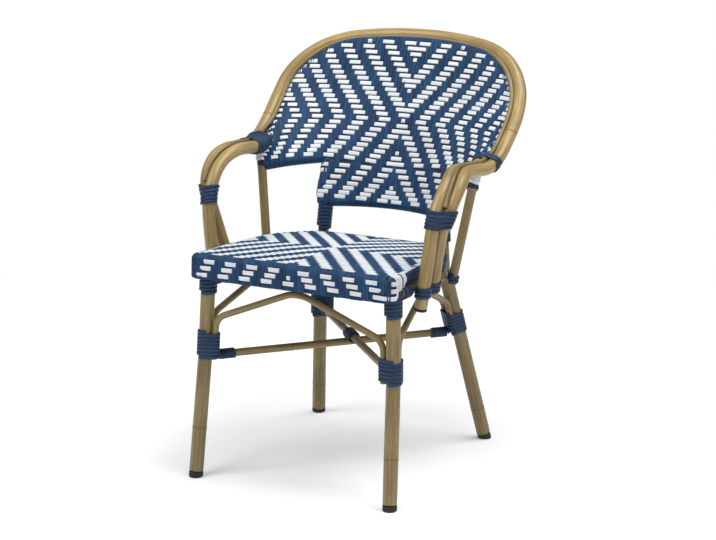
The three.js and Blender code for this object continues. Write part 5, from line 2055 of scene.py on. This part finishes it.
    def add_back_frame(self) -> None:
        """Makes the tubes inside the woven back and the posts that carry it."""
        flat = BACK.hoop_flat(BACK.arch_inset)
        arch = BACK.off(flat, BACK.forward(flat)[:, None])
        path = even(smooth_curve(mirrored_whole(arch), 12), 6.0)
        self.tube("back_arch", path, self.post_radius - 0.6, sides=16)
        half, low, high = BackPanel.tail_half, BackPanel.tail_height, BackPanel.wing_inner_height
        right = [(half, low), (half, high), (276.0, BackPanel.wing_height)]
        corners = [(-x, z) for x, z in right[::-1]] + right
        flat = even(bent_path(corners, [24.0, 12.0, 12.0, 24.0]), 5.0)
        self.tube("back_lower_rail", BACK.points(flat), self.post_radius - 0.6, sides=16)
        for side in Side:
            for name, line, radius in (("side_post", self.side_post, self.post_radius),
                                       ("back_post", self.back_post, self.back_post_radius)):
                self.tube(f"{name}_{side.word}", even(on_side(np.array(line), side), 8.0), radius)

    def binding_reach(self, run: Array, way: Array) -> float:
        """From a leg's middle along a stretcher to the outside of the cord on the leg.

        Args:
            run: Unit vector along the stretcher, away from the leg.
            way: Unit vector from the leg to the side brace.

        Returns:
            The distance.
        """
        level = unit(run * FLAT)
        aside = np.array([np.sign(level[0]), 0.0, 0.0])
        braces = [self.arch_beside * float(off @ level) + self.arch_radius for off in (aside, way)]
        hull = max(self.leg_radius, *braces)
        return hull + self.bound + self.gap + self.stretcher_radius * math.tan(TURN_PART)

    def stretcher_ends(self, word: str) -> tuple[Array, Array]:
        """Both ends of a stretcher.

        Args:
            word: "under" for the lower one, or "over" for the one that lies on it.

        Returns:
            The front end and the rear end.
        """
        over = word == "over"
        z = self.stretcher_height + (2 * self.stretcher_radius + self.gap if over else 0.0)
        side = Side.LEFT if over else Side.RIGHT
        rear = on_side(at_height(np.array(self.rear_leg), z), side)
        front = on_side(at_height(np.array(self.front_leg), z), side) * np.array([-1.0, 1.0, 1.0])
        run = unit(rear - front)
        start = front + run * self.binding_reach(run, np.array([0.0, 1.0, 0.0]))
        end = rear - run * self.binding_reach(-run, np.array([0.0, -1.0, 0.0]))
        return start, end

    def add_stretchers(self) -> None:
        """Makes the two crossed stretchers."""
        for word, knot in (("under", 150.0), ("over", 330.0)):
            path = even(np.array(self.stretcher_ends(word)), 8.0)
            self.tube(f"stretcher_{word}", path, self.stretcher_radius, knots=(knot,))

    def beside(self, leg: Sequence[Point], z: float, way: Sequence[float]) -> Array:
        """A brace's middle beside a leg."""
        return at_height(np.array(leg), z) + np.array(way) * self.arch_beside

    def add_arches(self) -> None:
        """Makes the braces: one in front, one at the rear and one on each side."""
        inwards, backwards, forwards = (-1.0, 0.0, 0.0), (0.0, 1.0, 0.0), (0.0, -1.0, 0.0)
        crown = self.apron_point(0.0)[2] - self.apron_rail_radius - self.arch_radius - 0.6
        rear_reach = at_height(np.array(self.rear_leg), self.rear_crown)[1]
        for name, leg, elbow, bend, middle in (
                ("front_arch", self.front_leg, self.front_elbow, self.front_bend,
                 (self.front_crown_half, self.front_crown_y, crown - self.front_crown_drop)),
                ("rear_arch", self.rear_leg, self.rear_elbow, self.rear_bend,
                 (self.crown_half, rear_reach, self.rear_crown))):
            sides = [self.beside(leg, z, inwards) for z in (self.arch_foot, elbow)]
            right = np.array([*sides, middle])
            self.add_arch(name, np.vstack([right, mirrored(right[::-1])]), bend, bend)
        for side in Side:
            start = [self.beside(self.front_leg, z, backwards) for z in (self.arch_foot, self.front_elbow)]
            end = [self.beside(self.rear_leg, z, forwards) for z in (self.arch_foot, self.rear_elbow)]
            middle = (start[1] + end[1]) / 2 * FLAT + np.array([0.0, 0.0, self.side_crown])
            half = unit((end[1] - start[1]) * FLAT) * self.crown_half
            corners = [*start, middle - half, middle + half, end[1], end[0]]
            name = f"side_arch_{side.word}"
            self.add_arch(name, on_side(np.array(corners), side), self.front_bend, self.rear_bend)

    def add_arch(self, name: str, corners: Array, first: float, last: float) -> None:
        """Makes one brace.

        Args:
            name: The node that it stands for.
            corners: Its two feet, elbows and crown, from one end to the other.
            first: Radius of the bend at its first elbow.
            last: Radius of the bend at its last elbow.
        """
        path = even(bent_path(corners, [first, self.crown_radius, self.crown_radius, last]), 5.0)
        self.tube(name, path, self.arch_radius, sides=20)


# ---------------------------------------------------------------- cord bindings


@dataclass(frozen=True)
class Cord:
    """A flat binding cord."""

    width: float
    thickness: float
    pitch: float


WIDE = Cord(6.9, 2.8, 7.3)
SLIM = Cord(5.4, 2.2, 5.7)


@dataclass
class CordBindings:
    """All the joints bound with flat blue cord."""

    frame: TubeFrame
    finishes: Finishes
    turn_steps: int = 36
    gap: float = 0.3
    crown: float = 0.1
    leg_bound: dict[Side, tuple[float, float]] = field(
        default_factory={Side.RIGHT: (236.0, 289.0), Side.LEFT: (236.0, 295.0)}.copy)
    leg_top_bound: tuple[float, float] = (364.0, 424.0)
    arm_bound: tuple[float, float] = (560.0, 519.0)
    arm_foot_bound: tuple[float, float] = (419.0, 386.0)
    back_post_bound: tuple[float, float] = (425.0, 487.0)
    side_post_bound: tuple[float, float] = (375.0, 400.0)
    strap_bound: dict[Side, tuple[float, float]] = field(
        default_factory={Side.RIGHT: (0.25, 0.8), Side.LEFT: (0.35, 1.8)}.copy)
    rail_overrun: float = 5.3
    stretcher_bound: tuple[float, float] = (-5.0, 36.0)
    crossing_bound: tuple[float, float] = (-34.0, 14.0)

    def straight(self, first: Array, last: Array, radius: float) -> Core:
        """Core of a straight stretch of a bar."""
        return (lambda share: first + (last - first) * share[:, None]), radius

    def bar(self, line: Sequence[Point], low: float, high: float, radius: float, side: Side,
            off: Sequence[float] = (0.0, 0.0, 0.0)) -> Core:
        """Core of a bar's stretch between two heights.

        Args:
            line: The bar's points on the right.
            low: Height of the lower end.
            high: Height of the upper end.
            radius: The bar's radius.
            side: Which side.
            off: How far the core lies beside the line.

        Returns:
            The core.
        """
        points = on_side(np.array(line) + np.array(off), side)
        return self.straight(at_height(points, low), at_height(points, high), radius)

    def arm(self, line: Sequence[Point], high: float, low: float, side: Side, slack: float) -> Core:
        """Core on an arm's way down.

        Args:
            line: The arm's points on the right.
            high: Height of the upper end.
            low: Height of the lower end.
            side: Which arm.
            slack: How far the cord stands off the tube.

        Returns:
            The core.
        """
        dense = smooth_curve(on_side(np.array(line), side), 24)
        falling = dense[int(np.argmax(dense[:, 2])):]
        return (lambda share: at_height(falling, high + (low - high) * share)), self.frame.arm_radius + slack

    def placed(self, line: Sequence[Point], first: float, last: float, side: Side, radius: float) -> Core:
        """Core between two numbered places on the curve through a line's points.

        Args:
            line: The points on the right.
            first: Number of the point at which it starts, or a share between two.
            last: Number of the point at which it ends.
            side: Which side.
            radius: The bar's radius.

        Returns:
            The core.
        """
        dense = smooth_curve(on_side(np.array(line), side), 24)
        numbers = np.arange(len(dense)) / 24.0

        def spot(share: Array) -> Array:
            """Points at shares of the way."""
            wanted = first + (last - first) * share
            return np.stack([np.interp(wanted, numbers, column) for column in dense.T], axis=-1)

        return spot, radius

    def wind(self, name: str, cores: Sequence[Core], cord: Cord = WIDE) -> None:
        """Winds a cord round one or more bars and makes the piece.

        At each angle the cord lies on the bar that reaches furthest out that way, so it
        follows the outside of all of them, while it climbs evenly along them.

        Args:
            name: The node that the winding stands for.
            cores: The bars, each a line by share and a radius.
            cord: The cord's sizes.
        """
        ends = np.array([0.0, 1.0])
        axis = unit(sum(line(ends)[1] - line(ends)[0] for line, _ in cores))
        hint = np.array([0.0, 0.0, 1.0]) if abs(axis[2]) < 0.9 else np.array([1.0, 0.0, 0.0])
        sideways = unit(np.cross(hint, axis))
        forward = np.cross(axis, sideways)
        first_line = cores[0][0](ends)
        length = float(np.linalg.norm(first_line[1] - first_line[0]))
        turns = max(1, int((length - cord.width) / cord.pitch))
        slack = (length - turns * cord.pitch) / 2 / length
        total = turns * self.turn_steps
        step = np.arange(total + 1)
        share = slack + (1 - 2 * slack) * step / total
        angle = math.tau * (step + 0.5) / self.turn_steps
        out = np.cos(angle)[:, None] * sideways + np.sin(angle)[:, None] * forward
        centres = np.array([line(share) for line, _ in cores])
        radii = np.array([radius for _, radius in cores])
        reach = np.sum(centres * out[None], axis=2) + radii[:, None]
        best = np.argmax(reach, axis=0)
        stations = centres[best, step] + out * (radii[best] + self.gap + cord.thickness / 2)[:, None]
        dip = np.array([[0.35], [1.0]])
        lead = stations[0] - (stations[1] - stations[0]) * 2 * dip[::-1] - out[0] * dip[::-1] * 1.2
        tail = stations[-1] + (stations[-1] - stations[-2]) * 2 * dip - out[-1] * dip * 1.2
        path = np.vstack([lead, stations, tail])
        normals = np.vstack([out[:1], out[:1], out, out[-1:], out[-1:]])
        skin = Skin()
        section = flat_section(cord.width, cord.thickness, self.crown)
        skin.add_grid(carried_section(path, normals, section), run_lengths(path), 0.5)
        skin.make(f"{name}_cord", self.finishes.cord, Slot.CORD, [name])

    def build(self) -> None:
        """Makes every binding."""
        for side in Side:
            self.bind_legs(side)
            self.bind_arms(side)
            self.bind_posts(side)
        self.bind_stretchers()

    def bind_legs(self, side: Side) -> None:
        """Binds each leg with the feet of two braces, and the tops of the front legs.

        Args:
            side: Which side.
        """
        frame = self.frame
        brace = frame.arch_radius + 0.2
        for end, leg, way in (("front", frame.front_leg, 1.0), ("rear", frame.rear_leg, -1.0)):
            bound = self.leg_bound[side]
            cores = [self.bar(leg, *bound, frame.leg_radius, side),
                     self.bar(leg, *bound, brace, side, (-frame.arch_beside, 0.0, 0.0)),
                     self.bar(leg, *bound, brace, side, (0.0, way * frame.arch_beside, 0.0))]
            self.wind(f"leg_binding_{end}_{side.word}", cores)
        top = [self.bar(frame.front_leg, *self.leg_top_bound, frame.leg_radius + 0.5, side)]
        self.wind(f"leg_top_binding_{side.word}", top)

    def bind_arms(self, side: Side) -> None:
        """Binds the pairs of arm tubes in front and at the wing, and both of their feet.

        Args:
            side: Which side.
        """
        frame = self.frame
        pair = [self.arm(line, *self.arm_bound, side, 0.9) for line in (frame.outer_arm, frame.inner_arm)]
        self.wind(f"arm_wrap_{side.word}", pair)
        for which, line in (("outer", frame.outer_arm), ("inner", frame.inner_arm)):
            self.wind(f"{which}_arm_binding_{side.word}", [self.arm(line, *self.arm_foot_bound, side, 0.1)])
        bars = ((frame.outer_arm, frame.arm_radius), (frame.inner_arm, frame.arm_radius),
                (frame.arm_bead, frame.bead_radius))
        strap = [self.placed(line, *self.strap_bound[side], side, radius) for line, radius in bars]
        self.wind(f"arm_strap_{side.word}", strap)

    def bind_posts(self, side: Side) -> None:
        """Binds the posts of the back and the lower rail between leg and arm.

        Args:
            side: Which side.
        """
        frame = self.frame
        post = self.bar(frame.back_post, *self.back_post_bound, frame.back_post_radius + 1.2, side)
        self.wind(f"back_post_binding_{side.word}", [post])
        post = self.bar(frame.side_post, *self.side_post_bound, frame.post_radius, side)
        self.wind(f"side_post_binding_{side.word}", [post])
        leg, arm = ((radius + frame.cord_middle) / math.cos(TURN_PART) - self.rail_overrun
                    for radius in (frame.leg_radius, frame.arm_radius))
        start, end = frame.front_leg[-1][1] + leg, frame.inner_arm[-1][1] - arm
        spots = [(SEAT.side(y, frame.rail_inset), y, SEAT.top(y) - frame.rail_drop) for y in (start, end)]
        first, last = (on_side(np.array(spot), side) for spot in spots)
        self.wind(f"rail_binding_{side.word}", [self.straight(first, last, frame.ring_radius + 0.5)])

    def bind_stretchers(self) -> None:
        """Binds both ends of each stretcher and their crossing."""
        frame = self.frame
        for word, hands in (("under", ("left", "right")), ("over", ("right", "left"))):
            start, end = frame.stretcher_ends(word)
            run = unit(end - start)
            for place, tip, way, hand in (("front", start, run, hands[0]), ("rear", end, -run, hands[1])):
                first, last = (tip + way * reach for reach in self.stretcher_bound)
                core = self.straight(first, last, frame.stretcher_radius + 0.4)
                self.wind(f"stretcher_binding_{place}_{hand}", [core], SLIM)
        start, end = frame.stretcher_ends("over")
        run = unit(end - start)
        middle = start + run * float(start[0] / (start[0] - end[0]) * np.linalg.norm(end - start))
        first, last = (middle + run * reach for reach in self.crossing_bound)
        self.wind("crossing_binding", [self.straight(first, last, frame.stretcher_radius + 2.0)])


# ---------------------------------------------------------------- studio


@dataclass
class Studio:
    """Pale floor, soft light and the camera."""

    azimuth: float = 27.21
    elevation: float = 14.33
    distance: float = 4.499
    aim: Point = (0.0218, 0.0025 + ORIGIN_SHIFT * MILLIMETRE, 0.3915)
    lens: float = 114.69
    floor_reach: float = 9.0
    lights: tuple[tuple[str, Point, float, float], ...] = (
        ("key_light", (-1.4, -2.4, 3.4), 2.2, 78.0), ("top_light", (1.1, 0.3, 3.9), 2.4, 104.0),
        ("side_light", (3.4, -1.6, 1.8), 2.4, 14.0))
    lit_height: float = 0.45
    world_colour: Colour = (0.97, 0.985, 1.0)
    world_strength: float = 0.34

    def build(self) -> None:
        """Makes the floor, the lights and the camera."""
        bpy.context.scene.view_settings.view_transform = "Standard"
        self.add_floor()
        self.add_world()
        for light in self.lights:
            self.add_light(*light)
        self.add_camera()

    def add_floor(self) -> None:
        """Makes a wide pale floor just under the feet."""
        mesh = bpy.data.meshes.new("floor")
        reach = self.floor_reach
        corners = [(x * reach, y * reach, -0.0002) for x, y in ((-1, -1), (1, -1), (1, 1), (-1, 1))]
        mesh.from_pydata(corners, [], [(0, 1, 2, 3)])
        mesh.materials.append(FloorFinish().material())
        floor = bpy.data.objects.new("floor", mesh)
        bpy.context.scene.collection.objects.link(floor)

    def add_world(self) -> None:
        """Makes even light from all round, and plain white where the camera looks past the floor."""
        world = bpy.data.worlds.new("studio")
        bpy.context.scene.world = world
        board = Board(world)
        camera = board.node("ShaderNodeLightPath", output="Is Camera Ray")
        looks = {0: camera, 1: camera.other("Is Transmission Ray")}
        seen = board.node("ShaderNodeMath", {"operation": "MAXIMUM"}, looks)
        light = {"Color": (*self.world_colour, 1.0), "Strength": self.world_strength}
        lit = board.node("ShaderNodeBackground", inputs=light)
        white = board.node("ShaderNodeBackground", inputs={"Color": WHITE})
        mixed = board.node("ShaderNodeMixShader", inputs={0: seen, 1: lit, 2: white})
        board.show(mixed, "ShaderNodeOutputWorld")

    def add_light(self, name: str, place: Point, size: float, power: float) -> None:
        """Makes a square soft light that faces the chair.

        Args:
            name: Its name.
            place: Its place in metres.
            size: Its side in metres.
            power: Its power in watts.
        """
        light = bpy.data.lights.new(name, "AREA")
        light.size = size
        light.energy = power
        lamp = bpy.data.objects.new(name, light)
        lamp.location = place
        lamp.rotation_euler = self.facing(np.array([0.0, 0.0, self.lit_height]) - np.array(place))
        bpy.context.scene.collection.objects.link(lamp)

    def facing(self, way: Array) -> tuple[float, float, float]:
        """Turns that point an object's -Z along a direction, with its top upwards."""
        level = math.hypot(way[0], way[1])
        return math.atan2(level, -way[2]), 0.0, math.atan2(-way[0], way[1])

    def add_camera(self) -> None:
        """Puts the camera where the photograph was taken from."""
        turn, rise = math.radians(self.azimuth), math.radians(self.elevation)
        back = np.array([math.sin(turn) * math.cos(rise), -math.cos(turn) * math.cos(rise), math.sin(rise)])
        data = bpy.data.cameras.new("camera")
        data.sensor_width = 36.0
        data.lens = self.lens
        camera = bpy.data.objects.new("camera", data)
        camera.location = np.array(self.aim) + back * self.distance
        camera.rotation_euler = self.facing(-back)
        bpy.context.scene.collection.objects.link(camera)
        bpy.context.scene.camera = camera


# ---------------------------------------------------------------- all together


def main() -> None:
    """Loads the frame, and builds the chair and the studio."""
    logging.basicConfig(level=logging.INFO, format="%(name)s: %(message)s")
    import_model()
    finishes = Finishes()
    Studio().build()
    frame = TubeFrame(finishes)
    frame.build()
    CordBindings(frame, finishes).build()
    SeatPanel(finishes).weave()
    BackPanel(finishes).weave()


if __name__ == "__main__":
    main()
